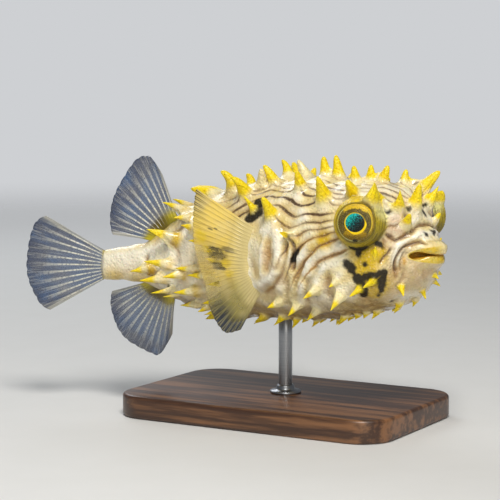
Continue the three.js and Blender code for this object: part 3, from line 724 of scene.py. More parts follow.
@dataclass
class Spine:
    """One spine drawn out of the skin around its foot."""

    growth: Growth
    angle: float
    make: Thorn
    foot: Array = field(default_factory=lambda: np.zeros(3))
    reach: float = 0.0
    # samples up a spine, and how they crowd towards its tip
    samples: int = 80
    crowding: float = 1.6
    # a spine of this length has the sizes of its kind
    plain_length: float = 8.0
    # the shaft's largest share of the foot, and how the skin is drawn up it
    neck: float = 0.66
    drawn: float = 0.92

    def settle(self, plan: BodyPlan) -> None:
        """Finds the foot's place and directions on the body."""
        at, lean, drop = self.growth.at, math.radians(self.growth.lean), math.radians(self.growth.drop)
        self.foot = plan.surface(at, self.angle)
        self.normal, self.tail, _ = plan.skin_frame(at, self.angle)
        self.across = np.cross(self.normal, self.tail)
        belly = -1 if self.angle > 180 else 1
        self.aim = self.normal * math.cos(lean) * math.cos(drop) + self.tail * math.sin(lean)
        self.aim = self.aim + self.across * math.cos(lean) * math.sin(drop) * belly
        self.size = math.sqrt(self.growth.length / self.plain_length)
        self.reach = (self.make.shaft + self.make.flare) * self.size

    def line(self, share: Array) -> Array:
        """The middle line from foot (0) to tip (1), measured from the foot."""
        bent = self.growth.hook * share[:, None] ** 3 * self.tail
        return self.growth.length * (share[:, None] * self.aim + bent)

    def draw_out(self, flat: Array, place: Array) -> tuple[Array, Array, Array]:
        """Moves the skin round the foot onto the spine.

        Args:
            flat: The plain skin's points.
            place: The points where the skin is now.

        Returns:
            Indices of the moved points, their new places, and their shares of the spine's height.
        """
        off = flat - self.foot
        x, y, z = off @ self.tail, off @ self.across, off @ self.normal
        r = np.hypot(x, y)
        near = np.flatnonzero((r < self.reach) & (np.abs(z) < 0.8 * self.reach))
        if not len(near):
            return near, place[near], np.zeros(0)
        x, y, r = x[near], y[near], r[near]
        r[np.argmin(r)] = 0.0
        share = 1 - np.linspace(1, 0, self.samples) ** self.crowding
        make, foot = self.make, self.reach / self.size
        shaft = min(make.shaft, self.neck * foot)
        length = self.growth.length
        fall = np.exp(-np.sqrt(share * length / (make.skirt * self.size)))
        taper = (make.blunt + (1 - make.blunt) * (1 - share)) * np.sqrt(1 - share**make.cap)
        radius = self.size * (shaft * taper + (foot - shaft) * fall * (1 - share))
        run = np.hypot(np.diff(radius), np.diff(share * length))
        arc = np.concatenate([[0], np.cumsum(run)])
        where = (1 - r / self.reach) ** self.drawn * arc[-1]
        s = np.interp(where, arc, share)
        wide = np.interp(where, arc, radius)
        bent = 3 * self.growth.hook * s[:, None] ** 2 * self.tail
        along = unit(mix(self.normal[None], unit(self.aim + bent), ease(s, 0.0, 0.3)[:, None]))
        cos, sin = (v / np.maximum(np.hypot(x, y), 1e-9) for v in (x, y))
        flat_round = self.tail * cos[:, None] + self.across * sin[:, None]
        round_ = unit(flat_round - along * (flat_round * along).sum(-1, keepdims=True))
        grown = self.line(s) + round_ * wide[:, None]
        return near, place[near] + grown - flat_round * r[:, None], s


# how far neighbouring skirts may reach into each other
OVERLAP = 1.3


def all_spines(plan: BodyPlan) -> list[Spine]:
    """Every spine, settled on the body, with neighbours' skirts kept apart."""
    made = []
    for patch in PATCHES:
        for growth in (*patch.paired, *patch.lone):
            made.append(Spine(growth, growth.angle, patch.kind.value))
        for growth in patch.paired:
            share = FAR_SHARE if growth.angle > BELOW else 1.0
            twin = replace(growth, length=growth.length * share)
            made.append(Spine(twin, 360 - growth.angle, patch.kind.value))
    for spine in made:
        spine.settle(plan)
    feet = np.array([s.foot for s in made])
    reach = np.array([s.reach for s in made])
    gap = np.linalg.norm(feet[:, None] - feet[None], axis=-1) + np.eye(len(made)) * plan.length
    squeeze = np.minimum(1.0, OVERLAP * (gap / (reach[:, None] + reach[None])).min(1))
    for spine, share in zip(made, squeeze):
        spine.reach *= float(share)
    return made


# ---------------- eyes


@dataclass
class EyeSeat:
    """Where an eye sits in the head, and the skin dome that holds it."""

    side: Side
    plan: BodyPlan
    at: float = 0.16
    out: float = 18.0
    up: float = 14.6
    yaw: float = 69.0
    tilt: float = 4.0
    dome: float = 8.5
    opening: float = 6.5
    foot: float = 8.8
    rim: float = 5.4
    sink: float = 11.0
    # the fine pleats round the dome: their height, and how far apart they are
    pleats: tuple[float, float] = (0.1, 0.95)
    # the stations and angles to look for the nearest skin at, and how deep it may lie
    search: tuple[tuple[float, float, int], ...] = ((0.1, 0.22, 61), (40, 80, 81))
    deep: float = 8.0

    def __post_init__(self) -> None:
        """Works out the middle, the gaze and the head's own normal there."""
        plan, sign = self.plan, self.side.value
        left = plan.left(self.at)
        self.middle = plan.centre(self.at) + left * (sign * self.out) + UP * self.up
        yaw = math.radians(self.yaw) * sign
        ahead = plan.forward(self.at)
        level = ahead * math.cos(yaw) + np.cross(UP, ahead) * math.sin(yaw)
        tilt = math.radians(self.tilt)
        self.gaze = unit(level * math.cos(tilt) + UP * math.sin(tilt))
        self.above = unit(UP - self.gaze * (self.gaze @ UP))
        self.beside = np.cross(self.above, self.gaze)
        at, angle = (np.linspace(*reach) for reach in self.search)
        at, angle = at[:, None], angle[None]
        angle = angle if self.side is Side.RIGHT else 360 - angle
        near = np.linalg.norm(plan.surface(at, angle) - self.middle, axis=-1)
        i, j = np.unravel_index(near.argmin(), near.shape)
        self.skin, _, _ = plan.skin_frame(at[i, 0], angle[0, j])
        self.rise = unit(UP - self.skin * (self.skin @ UP))
        self.breadth = np.cross(self.rise, self.skin)
        turn = Vector(self.skin).rotation_difference(Vector(self.gaze)).to_matrix()
        self.turned = [np.array(turn @ Vector(v)) for v in (self.breadth, self.rise)]

    def polar(self, flat: Array) -> tuple[Array, Array, Array]:
        """Distance from the eye's middle along the skin, and the direction's cosine and sine."""
        off = flat - self.middle
        x, y = off @ self.breadth, off @ self.rise
        r = np.hypot(x, y)
        away = np.abs(off @ self.skin) > self.deep
        return np.where(away, self.plan.length, r), x / np.maximum(r, 1e-9), y / np.maximum(r, 1e-9)

    def cover(self, flat: Array, place: Array) -> tuple[Array, Array, Array]:
        """Raises the skin into the dome, rolls it in at the rim and closes it behind the eye.

        Args:
            flat: The plain skin's points.
            place: The points where the skin is now.

        Returns:
            The new places, how much of the dome each point is, and its share ahead and above the gaze.
        """
        r, cos, sin = self.polar(flat)
        sink, tilt = math.radians(self.sink), math.asin(self.opening / self.dome)
        skirt = self.breadth * cos[:, None] + self.rise * sin[:, None]
        foot = skirt * math.cos(sink) - self.skin * math.sin(sink)
        ring = self.turned[0] * cos[:, None] + self.turned[1] * sin[:, None]
        edge = ring * math.sin(tilt) + self.gaze * math.cos(tilt)
        t = np.clip((self.foot - r) / (self.foot - self.rim), 0, 1)[:, None]
        facing = unit(mix(foot, edge, t))
        arc = np.arccos(np.clip(facing @ self.gaze, -1, 1)) * self.dome
        high, every = self.pleats
        pleat = high * np.sin(arc * 2 * math.pi / every) * ease(r, self.foot + 1, self.foot - 2)
        pleat *= ease(r, self.rim, self.rim + 0.7)
        dome = self.middle + facing * (self.dome + pleat)[:, None]
        # the lid rolls in over the ball: its width and depth from the middle out to the rim
        h = self.dome * math.cos(tilt)
        steps = np.array([0.0, 3.4, 4.0, 4.5, 4.95, self.rim])
        wide = np.interp(r, steps, [0, 5.0, 5.85, 5.98, 6.16, self.opening])
        deep = np.interp(r, steps, [4.4, 4.6, 5.2, h - 0.35, h + 0.02, h])
        inner = self.middle + ring * wide[:, None] + self.gaze * deep[:, None]
        shaped = np.where((r < self.rim)[:, None], inner, dome)
        share = ease(r, self.foot + 3.2, self.foot - 1.0)[:, None]
        towards = facing @ self.beside * -self.side.value
        return mix(place, shaped, share), share[:, 0], np.column_stack([towards, facing @ self.above])


# ---------------- mesh


def write_points(mesh: bpy.types.Mesh, points: Array) -> None:
    """Sets a mesh's vertices from millimetres."""
    mesh.vertices.foreach_set("co", (points * MM).astype(np.float32).ravel())
    mesh.update()


def read_points(mesh: bpy.types.Mesh, kept: str = "co") -> Array:
    """A mesh's vertices, or their normals, as stored."""
    found = np.zeros(len(mesh.vertices) * 3, np.float32)
    mesh.vertices.foreach_get(kept, found)
    return found.reshape(-1, 3).astype(float)


def keep_vectors(mesh: bpy.types.Mesh, name: str, *columns: Array) -> None:
    """Stores three numbers for each vertex under a name that materials read."""
    layer = mesh.attributes.new(name, "FLOAT_VECTOR", "POINT")
    layer.data.foreach_set("vector", np.column_stack(columns).astype(np.float32).ravel())


def as_piece(bm: bmesh.types.BMesh, name: str, finish: bpy.types.Material) -> bpy.types.Object:
    """Turns a bmesh into a smooth-shaded object at the origin."""
    mesh = bpy.data.meshes.new(name)
    for face in bm.faces:
        face.smooth = True
    bm.to_mesh(mesh)
    bm.free()
    mesh.materials.append(finish)
    piece = bpy.data.objects.new(name, mesh)
    bpy.context.scene.collection.objects.link(piece)
    return piece


@dataclass
class Skin:
    """The whole hide in one mesh: lips, folds, eye domes, gill, pads and every spine."""

    plan: BodyPlan
    seats: list[EyeSeat]
    spines: list[Spine]
    columns: int = 190
    rows: int = 250
    corner_at: float = 0.012
    # how open the mouth is in the middle and, above that, at its corners
    parted: tuple[float, float] = (0.14, 2.5)
    # how far the rounded end goes under the tail fin
    stem_end: float = 1.6
    # the flesh's unevenness: sizes of the lumps and their heights
    lumps: tuple[tuple[float, float], ...] = ((9.0, 0.2), (4.5, 0.09), (2.2, 0.035))
    groove: float = 0.5
    groove_wide: float = 1.1
    # the reddish spot by the corner of the mouth
    sore: tuple[tuple[float, float], ...] = ((0.021, 99), (0.024, 108))
    # where the hide is finer: a ring round each eye, and a share of each spine's reach
    coarse: tuple[tuple[float, float], float] = ((3.0, 10.3), 0.97)
    fine: tuple[tuple[float, float], float] = ((4.0, 5.9), 0.3)
    # share of the rows, and the station there; below 0 is inside the mouth
    pacing: tuple[tuple[float, float], ...] = (
        (0, -1), (0.02, -0.7), (0.11, 0), (0.3, 0.125), (0.93, 0.9), (0.975, 0.99), (1, 1.06)
    )
    # mouth rings from the throat to the lips' outer edge: half width, half height, forward
    mouth: tuple[tuple[float, float, float, float], ...] = (
        (-1.0, 0.0, 0.0, -1.7),
        (-0.85, 4.8, 0.5, -1.6),
        (-0.6, 6.1, 0.85, -1.35),
        (-0.42, 6.6, 1.0, -0.9),
        (-0.28, 6.95, 1.2, -0.3),
        (-0.14, 7.3, 2.0, 0.2),
        (0.0, 7.6, 3.0, 0.0),
    )

    def plain(self, at: Array, angle: Array) -> Array:
        """The hide before any fold: mouth lining, body and the rounded end under the tail fin."""
        body = self.plan.surface(np.clip(at, 0, 1), angle)
        knots = np.array(self.mouth).T
        wide, high, ahead = (through(at, knots[0], row) for row in knots[1:])
        across, up = self.plan.round_the_body(angle)
        s2 = np.sin(np.radians(angle)) ** 2
        middle, corners = self.parted
        high = high * mix(1.0, middle + corners * s2**2, ease(at, -0.12, -0.3))
        lip = self.plan.centre(0.0) - self.plan.left(0.0) * (wide * across)[:, None]
        lip = lip + self.plan.forward(0.0) * (ahead - self.plan.set_back(angle))[:, None]
        lip = lip + UP * (high * up)[:, None]
        lip = lip + self.plan.surface(self.corner(angle), angle) - self.plan.surface(0.0, angle)
        past = np.clip((at - 1) / 0.06, 0, 1)[:, None]
        end = self.plan.centre(1.0) - self.plan.forward(1.0) * self.stem_end
        tip = mix(end, body, np.sqrt(1 - past**2)) - self.plan.forward(1.0) * past * 0.4
        return np.where((at < 0)[:, None], lip, np.where(at[:, None] > 1, tip, body))

    def corner(self, angle: Array) -> Array:
        """The station where the lips start: further back at the corners of the mouth."""
        return self.corner_at * np.sin(np.radians(angle)) ** 6

    def coordinates(self, raw: Array) -> tuple[Array, Array]:
        """Stations and angles of the starting sphere's points."""
        share = np.arctan2(np.hypot(raw[:, 0], raw[:, 1]), raw[:, 2]) / math.pi
        knots = np.array(self.pacing).T
        at, angle = through(share, *knots), np.degrees(np.arctan2(raw[:, 1], raw[:, 0])) % 360
        back = self.corner(angle) * np.clip(1 - at / 0.125, 0, 1)
        return np.where(at >= 0, at + back, at), angle

    def refine(self, bm: bmesh.types.BMesh, ring: tuple[float, float], share: float) -> None:
        """Halves the hide's edges round the eyes and the spines.

        Args:
            bm: The starting sphere.
            ring: Between which distances from an eye's middle.
            share: Within what share of a spine's reach.
        """
        bm.verts.index_update()
        raw = np.array([v.co[:] for v in bm.verts])
        flat = self.plain(*self.coordinates(raw))
        inside = np.zeros(len(flat), bool)
        for seat in self.seats:
            r, _, _ = seat.polar(flat)
            inside |= (r > ring[0]) & (r < ring[1])
        for spine in self.spines:
            off = flat - spine.foot
            inside |= np.einsum("ij,ij->i", off, off) < (share * spine.reach) ** 2
        edges = [e for e in bm.edges if inside[e.verts[0].index] and inside[e.verts[1].index]]
        bmesh.ops.subdivide_edges(bm, edges=edges, cuts=1, use_grid_fill=True)

    def relief(self, twin: Array, at: Array) -> tuple[Array, Array]:
        """How far folds stand the skin off, and how dark the painted shade in them makes it."""
        height, shade_and_marks = np.zeros(len(twin)), np.zeros(len(twin))
        for crease in CREASES:
            chain = self.plan.trace(crease.points)
            gap = nearness(twin, chain, 4.0 * crease.width)
            shape = np.exp(-((gap / crease.width) ** 2))
            height -= crease.depth * (shape - np.exp(-16.0))
            if crease.shade_and_marks:
                line = np.exp(-((gap / (0.75 * crease.width)) ** 2)) * crease.shade_and_marks
                shade_and_marks = np.maximum(shade_and_marks, line)
        rng = np.random.default_rng(7)
        for scale, amount in self.lumps:
            for _ in range(7):
                wave = unit(rng.normal(size=3)) * (2 * math.pi / (scale * rng.uniform(0.8, 1.25)))
                height += amount * 0.5 * np.sin(twin @ wave + rng.uniform(0, 6.28))
        return height * ease(at, 0.0, 0.02) * ease(at, 1.0, 0.93), shade_and_marks

    def grow(self, flat: Array, place: Array) -> tuple[Array, Array, Array]:
        """Draws every spine out of the hide.

        Args:
            flat: The plain hide's points.
            place: Where they are now; the spines' are moved.

        Returns:
            Shares of a spine's height, how yellow they are, and how golden a fleshy spine's root is.
        """
        grown, yellow, rooted = np.zeros((3, len(flat)))
        rng = np.random.default_rng(3)
        for spine in self.spines:
            near, place_now, share = spine.draw_out(flat, place)
            place[near] = place_now
            if spine.make is Kind.FLESHY.value:
                off = (flat[near] - spine.foot) / spine.reach
                golden = ease(np.linalg.norm(off, axis=1), 1.0, 0.7) * ease(off @ spine.tail, 0.6, -0.2)
                rooted[near] = np.maximum(rooted[near], 0.95 * golden * ease(share, 0.4, 0.1))
            grown[near] = share
            start = spine.make.pale_until + rng.uniform(-0.06, 0.06)
            yellow[near] = ease(share, start - 0.1, start + 0.3) * rng.uniform(0.75, 1.0)
        return grown, yellow, rooted

    def build(self, finish: bpy.types.Material) -> bpy.types.Object:
        """Makes the hide.

        Args:
            finish: The coat's material.

        Returns:
            The hide, with the attributes that its coat reads.
        """
        bm = bmesh.new()
        bmesh.ops.create_uvsphere(bm, u_segments=self.columns, v_segments=self.rows, radius=1.0)
        for ring, share in (self.coarse, self.fine):
            self.refine(bm, ring, share)
        bmesh.ops.recalc_face_normals(bm, faces=bm.faces)
        piece = as_piece(bm, "skin", finish)
        mesh = piece.data
        at, angle = self.coordinates(read_points(mesh))
        flat = self.plain(at, angle)
        fold = fold_angle(angle)
        twin = self.plain(at, fold)
        body_at = np.clip(at, 0, 1)
        normal, _, _ = self.plan.skin_frame(body_at, angle)
        height, shade_and_marks = self.relief(twin, at)
        level, spacing, ink = self.striped(body_at, fold, twin)
        gap = np.abs(level - np.round(level)) * spacing
        cheek = ease(fold, 60, 78) * ease(at, 0.37, 0.3)
        sunk = (self.groove + 0.35 * cheek) * np.clip(ink, 0, 1) * ease(fold, 42, 58) * ease(at, 0.17, 0.2)
        height -= sunk * (np.exp(-((gap / self.groove_wide) ** 2)) - 0.3)
        place = flat + normal * height[:, None]
        dome, facing = np.zeros(len(at)), np.zeros((len(at), 2))
        for seat in self.seats:
            place, share, gaze = seat.cover(flat, place)
            facing = np.where((share > 0)[:, None], gaze, facing)
            dome = np.maximum(dome, share)
        grown, yellow, rooted = self.grow(flat, place)
        write_points(mesh, place)
        keep_vectors(mesh, "dome", dome, *facing.T)
        # raised folds get a painted highlight by their height; the rear flank is whitened with them
        white = 0.9 * ease(at, 0.64, 0.74) * ease(fold, 30, 55)
        raised = np.maximum(np.clip(height / 0.55, 0, 1), white)
        # how deep each place is sunk, which the coat paints as shade in the hollows
        keep_vectors(mesh, "folds", raised, np.clip(-height / 0.8, 0, 1), cheek)
        rose = self.washed(twin, ROSES)
        keep_vectors(mesh, "growth", grown, yellow, rose)
        ink = ink * (1 - dome) * (1 - 0.35 * cheek) * ease(at, 0.08, 0.1) * mix(0.7, 1.0, ease(fold, 18, 40))
        keep_vectors(mesh, "lines", level, spacing, ink)
        self.shade_and_marks(mesh, at, fold, flat, twin, shade_and_marks, rooted)
        LOG.info("skin: %d points, %d faces", len(mesh.vertices), len(mesh.polygons))
        return piece

    def washed(self, twin: Array, washes: tuple[Wash, ...]) -> Array:
        """How strongly soft patches colour each point."""
        found = np.zeros(len(twin))
        for wash in washes:
            gap = np.linalg.norm(twin - self.plan.surface(wash.at, wash.angle), axis=-1)
            found = np.maximum(found, wash.strength * np.exp(-((gap / wash.reach) ** 2)))
        return found

    def striped(self, at: Array, fold: Array, twin: Array) -> tuple[Array, Array, Array]:
        """How far each point is between stripes, their distance in millimetres, and their ink."""
        stripes = StripeField()
        level = stripes.level(at, fold)
        step_at, step_angle = 0.004, 1.0
        along = np.linalg.norm(self.plan.surface(at + step_at, fold) - twin, axis=-1)
        around = np.linalg.norm(self.plan.surface(at, fold + step_angle) - twin, axis=-1)
        down = (stripes.level(at + step_at, fold) - level) / np.maximum(along, 0.1)
        over = (stripes.level(at, fold + step_angle) - level) / np.maximum(around, 0.1)
        spacing = np.clip(1 / np.maximum(np.hypot(down, over), 1e-3), 1.2, 14.0)
        return level, spacing, stripes.strength(at, fold)

    def shade_and_marks(
        self, mesh: bpy.types.Mesh, at: Array, fold: Array, flat: Array, twin: Array,
        folds: Array, rooted: Array,
    ) -> None:
        """Stores what the coat's material reads.

        Args:
            mesh: The hide.
            at: Stations of its points.
            fold: Their angles, folded onto the right flank.
            flat: The plain hide's points.
            twin: The same points on the right flank.
            folds: How dark the painted shade in the creases makes it.
            rooted: How golden the fleshy spines' roots are.
        """
        body_at = np.clip(at, 0, 1)
        black = np.full(len(at), 4.0)
        for blotch in BLOTCHES:
            chain = self.plan.trace(blotch.points)
            black = np.minimum(black, nearness(flat if blotch.lone else twin, chain, 6.0) - blotch.width)
        rust = np.exp(-((nearness(twin, self.plan.trace(self.sore), 4.0) / 0.75) ** 2))
        rust = np.maximum(rust, ease(at, -0.2, -0.3))
        keep_vectors(mesh, "marks", black, folds, rust)
        gold = np.maximum(self.washed(twin, WASHES), rooted)
        # painted shade: the belly, the lower muzzle and every down-facing surface are tinted yellow-brown,
        # as shade would darken them
        under = ease(fold, 108, 150) * ease(body_at, 0.86, 0.8) * mix(0.35, 1.0, ease(at, 0.07, 0.16))
        muzzle = ease(body_at, 0.13, 0.06) * ease(fold, 84, 112)
        under = np.maximum(under, 0.4 * muzzle)
        shaded = ease(-read_points(mesh, "normal")[:, 2], 0.1, 0.9) * ease(at, 0.08, 0.12)
        shaded *= mix(1.0, 0.4, ease(at, 0.64, 0.74))
        under = np.maximum(under, 0.6 * shaded)
        lower = ease(fold, 88, 110)
        lip = ease(at, mix(0.014, 0.004, lower), mix(-0.012, -0.04, lower)) * ease(fold, 0, 30)
        keep_vectors(mesh, "tint", gold, under, lip)


# ---------------- fins


@dataclass
class Fin:
    """A fan of rays in a thin web. Rays go from 0 to 1 across and from root (0) to margin (1)."""

    name: str
    plan: BodyPlan
    rays: tuple[tuple[float, float, float], ...]
    count: int
    bow: float
    side: Side = Side.LEFT
    sunk: float = 3.0
    rows: int = 42
    per_ray: int = 12
    root_half: float = 1.1
    web_half: float = 0.12
    ray_half: float = 0.3
    scallop: float = 0.05
    ripple: float = 0.35
    # where a ray parts in two, how far its halves part, and their widths there and at the margin
    split_at: float = 0.42
    parting: float = 0.21
    fine: tuple[float, float] = (0.11, 0.08)

    def root(self, a: Array) -> Array:
        """Where each ray leaves the body."""
        raise NotImplementedError

    def direction(self, a: Array, lift: Array) -> Array:
        """Where each ray points."""
        raise NotImplementedError

    def face(self, a: Array) -> Array:
        """The side that the web faces."""
        raise NotImplementedError

    def ridge(self, a: Array, share: Array) -> Array:
        """How much of a ray's own thickness a place has; each ray parts in two towards the margin."""
        part = self.parting * ease(share, self.split_at, 1.05)
        off = (a * self.count) % 1.0 - 0.5
        fine = mix(*self.fine, ease(share, 0.3, 1.0))
        return np.exp(-((np.abs(np.abs(off) - part) / fine) ** 2))

    def build(self, finish: bpy.types.Material) -> bpy.types.Object:
        """Makes the fin.

        Args:
            finish: Its material.

        Returns:
            The closed fin, with its ray coordinates stored for the material.
        """
        bm = bmesh.new()
        bmesh.ops.create_cube(bm, size=1.0)
        for axis, cuts in ((0, self.count * self.per_ray - 1), (1, self.rows - 1)):
            edges = [e for e in bm.edges if abs((e.verts[0].co - e.verts[1].co)[axis]) > 0.6]
            bmesh.ops.subdivide_edges(bm, edges=edges, cuts=cuts, use_grid_fill=True)
        bmesh.ops.recalc_face_normals(bm, faces=bm.faces)
        piece = as_piece(bm, self.name, finish)
        raw = read_points(piece.data)
        a, along, z = raw[:, 0] + 0.5, raw[:, 1] + 0.5, raw[:, 2] * 2
        rays = np.array(self.rays).T
        lift, length = through(a, rays[0], rays[1]), through(a, rays[0], rays[2])
        off = np.abs((a * self.count) % 1.0 - 0.5) * 2
        length = length * (1 - self.scallop * off**2 * ease(along, 0.5, 1.0))
        reach = mix(-self.sunk, length, along)
        share = np.maximum(reach, 0) / length
        ray = self.ridge(a, share)
        half = mix(self.root_half, self.web_half, ease(share, -0.05, 0.3))
        half = half + self.ray_half * ray * mix(1.0, 0.4, share) * ease(share, 0.0, 0.15)
        wave = self.ripple * np.sin(a * 15 + share * 2.2) * share**1.5
        middle = self.bow * share**2 + wave
        point = self.root(a) + self.direction(a, lift) * reach[:, None]
        write_points(piece.data, point + self.face(a) * (middle + z * half)[:, None])
        keep_vectors(piece.data, "web", a * self.count, share, a)
        bm = bmesh.new()
        bm.from_mesh(piece.data)
        bmesh.ops.recalc_face_normals(bm, faces=bm.faces)
        bm.to_mesh(piece.data)
        bm.free()
        LOG.info("%s: %d faces", self.name, len(piece.data.polygons))
        return piece


@dataclass
class TailFin(Fin):
    """The tail fin on the end of the stem."""

    half_root: float = 4.7

    def root(self, a: Array) -> Array:
        """Points down the stem's end."""
        return self.plan.centre(1.0) + UP * (self.half_root * (1 - 2 * a))[:, None]

    def direction(self, a: Array, lift: Array) -> Array:
        """Backward rays in the stem's upright plane."""
        return self.plan.backward(np.ones_like(a), lift, 0.0, self.side)

    def face(self, a: Array) -> Array:
        """The fish's left."""
        return self.plan.left(np.ones_like(a))


@dataclass
class MedianFin(Fin):
    """The dorsal or the anal fin on the middle line."""

    angle: float = 0.0
    start: float = 0.8
    end: float = 0.876

    def at(self, a: Array) -> Array:
        """Stations of the rays' roots."""
        return mix(self.start, self.end, a)

    def root(self, a: Array) -> Array:
        """Points along the back or the belly."""
        return self.plan.surface(self.at(a), self.angle)

    def direction(self, a: Array, lift: Array) -> Array:
        """Backward rays in the body's upright plane."""
        return self.plan.backward(self.at(a), lift, 0.0, self.side)

    def face(self, a: Array) -> Array:
        """The fish's left."""
        return self.plan.left(self.at(a))


@dataclass
class PectoralFin(Fin):
    """The broad fan behind the gill."""

    outward: float = 34.0
    base: tuple[float, float, float] = (0.512, 0.03, 0.03)
    angles: tuple[float, float] = (62.0, 119.0)

    def root(self, a: Array) -> Array:
        """Points down the fin's curved root."""
        at, lean, arc = self.base
        angle = mix(*self.angles, a)
        angle = angle if self.side is Side.RIGHT else 360 - angle
        return self.plan.surface(at - lean * a + arc * np.sin(math.pi * a), angle)

    def direction(self, a: Array, lift: Array) -> Array:
        """Backward rays that stand away from the flank."""
        return self.plan.backward(np.full_like(a, self.base[0]), lift, self.outward, self.side)

    def face(self, a: Array) -> Array:
        """Outward from the flank."""
        zero = np.zeros(1)
        flat = self.plan.backward(zero + self.base[0], zero, self.outward, self.side)
        return np.cross(flat, UP) * -self.side.value


def all_fins(plan: BodyPlan) -> list[Fin]:
    """The five fins with the part's own rays: across, lift above straight back, and length."""
    tail = ((0, 31, 25.4), (0.12, 24, 28), (0.5, 0, 29), (0.88, -23, 26.5), (1, -30, 23.5))
    dorsal = ((0, 72, 17), (0.12, 70, 25), (0.25, 65, 26.5), (0.45, 50, 23.5), (0.8, 24, 18), (1, 8, 13.5))
    anal = ((0, -84, 14), (0.2, -77, 23.2), (0.45, -59, 23), (0.8, -33, 18.5), (1, -16, 13.5))
    side = ((0, 34, 22.3), (0.3, 18, 18.5), (0.6, -14, 14.6), (0.88, -55, 18), (1, -63, 13.5))
    upright = {"scallop": 0.012, "root_half": 1.5}
    fan = {
        "count": 27, "bow": 2, "per_ray": 8, "scallop": 0.015, "web_half": 0.14, "ray_half": 0.2,
        "split_at": 0.55,
    }
    return [
        TailFin("caudal_web", plan, tail, 11, -2.5, root_half=1.3, scallop=0.012),
        MedianFin("dorsal_web", plan, dorsal, 12, -1.5, angle=0, start=0.8, end=0.876, **upright),
        MedianFin("anal_web", plan, anal, 12, 1.5, angle=180, start=0.808, end=0.888, **upright),
        PectoralFin("pectoral_web_right", plan, side, side=Side.RIGHT, **fan),
        PectoralFin("pectoral_web_left", plan, side, side=Side.LEFT, **fan),
    ]


# ---------------- eyeballs


@dataclass
class Eye:
    """An eye of a ball with its iris and pupil, under a clear dome."""

    seat: EyeSeat
    steps: int = 112
    # distance from the gaze axis and height along it, from the pupil's middle to the ball's back
    ball: tuple[tuple[float, float], ...] = (
        (0.0, 6.85), (0.9, 6.83), (1.8, 6.75), (2.4, 6.62), (2.84, 6.47), (3.02, 6.36), (3.08, 6.31),
        (3.12, 6.44), (3.24, 6.53), (3.42, 6.52), (3.65, 6.44), (4.1, 6.33), (4.6, 6.2), (5.1, 6.02),
        (5.6, 5.8), (6.0, 5.5), (6.3, 5.1), (6.7, 4.45), (7.1, 3.6), (7.5, 2.4), (7.7, 1.3),
        (7.75, 0.0), (7.4, -2.2), (6.3, -4.5), (4.4, -6.4), (2.3, -7.4), (0.0, -7.7),
    )
    # how much wider than high the pupil is
    widened: float = 0.05
    # the clear dome: its middle's place before the ball's, its radius, its edge's angle and its wall
    apex: float = 1.15
    clear: float = 7.4
    clear_to: float = 57.0
    wall: float = 0.28

    def turned(
        self, profile: list[tuple[float, float]], name: str, finish: bpy.types.Material
    ) -> bpy.types.Object:
        """Spins a profile round the gaze and sets it in the head."""
        bm = spun(profile, self.steps)
        piece = as_piece(bm, name, finish)
        local = read_points(piece.data)
        seat = self.seat
        x, y, h = local.T
        keep_vectors(piece.data, "eye", x * -seat.side.value, y, h)
        local[:, 0] *= 1 + self.widened * ease(np.hypot(x, y), 5.4, 3.4)
        axes = np.array([seat.beside, seat.above, seat.gaze])
        write_points(piece.data, seat.middle + local @ axes)
        return piece

    def build(self, iris: bpy.types.Material, cornea: bpy.types.Material) -> list[bpy.types.Object]:
        """Makes the ball and the clear dome over it.

        Args:
            iris: The ball's material.
            cornea: The dome's material.

        Returns:
            Both pieces.
        """
        side = self.seat.side.name.lower()
        ball = through_profile(self.ball, 3)
        arc = np.radians(np.linspace(0, self.clear_to, 22))
        outer = [(self.clear * math.sin(a), self.apex + self.clear * math.cos(a)) for a in arc]
        inner = [(r * 0.965, h - self.wall) for r, h in reversed(outer)]
        inner[-1] = (0.0, inner[-1][1])
        made = [self.turned(ball, f"eyeball_{side}", iris)]
        made.append(self.turned(outer + inner, f"cornea_{side}", cornea))
        LOG.info("eye %s: %d faces", side, sum(len(p.data.polygons) for p in made))
        return made


def spun(
    profile: list[tuple[float, float]], steps: int, scale: float = 1.0, middle: tuple = (0.0, 0.0, 0.0)
) -> bmesh.types.BMesh:
    """A profile spun round an upright axis.

    Args:
        profile: Distances from the axis, and heights.
        steps: Cuts in the turn.
        scale: The size of the profile's unit.
        middle: Where the axis stands.

    Returns:
        The closed shape.
    """
    bm = bmesh.new()
    x, y, _ = middle
    verts = [bm.verts.new(((x + r) * scale, y * scale, h * scale)) for r, h in profile]
    edges = [bm.edges.new(pair) for pair in zip(verts[:-1], verts[1:])]
    bmesh.ops.spin(
        bm, geom=verts + edges, cent=Vector((x, y, 0)) * scale, axis=(0, 0, 1), dvec=(0, 0, 0),
        angle=2 * math.pi, steps=steps, use_merge=True, use_duplicate=False,
    )
    bmesh.ops.remove_doubles(bm, verts=bm.verts, dist=1e-3 * scale)
    bmesh.ops.recalc_face_normals(bm, faces=bm.faces)
    return bm


def bevelled(bm: bmesh.types.BMesh, edges: list[bmesh.types.BMEdge], offset: float, segments: int) -> None:
    """Rounds edges by an offset in millimetres."""
    bmesh.ops.bevel(
        bm, geom=edges, offset=offset * MM, offset_type="OFFSET", affect="EDGES", segments=segments,
        profile=0.5, material=-1,
    )


def through_profile(points: tuple[tuple[float, float], ...], cuts: int) -> list[tuple[float, float]]:
    """The profile with each stretch cut into equal parts."""
    p = np.array(points)
    fine = [tuple(mix(a, b, t)) for a, b in zip(p[:-1], p[1:]) for t in np.arange(cuts) / cuts]
    return [*fine, tuple(p[-1])]


# ---------------- stand


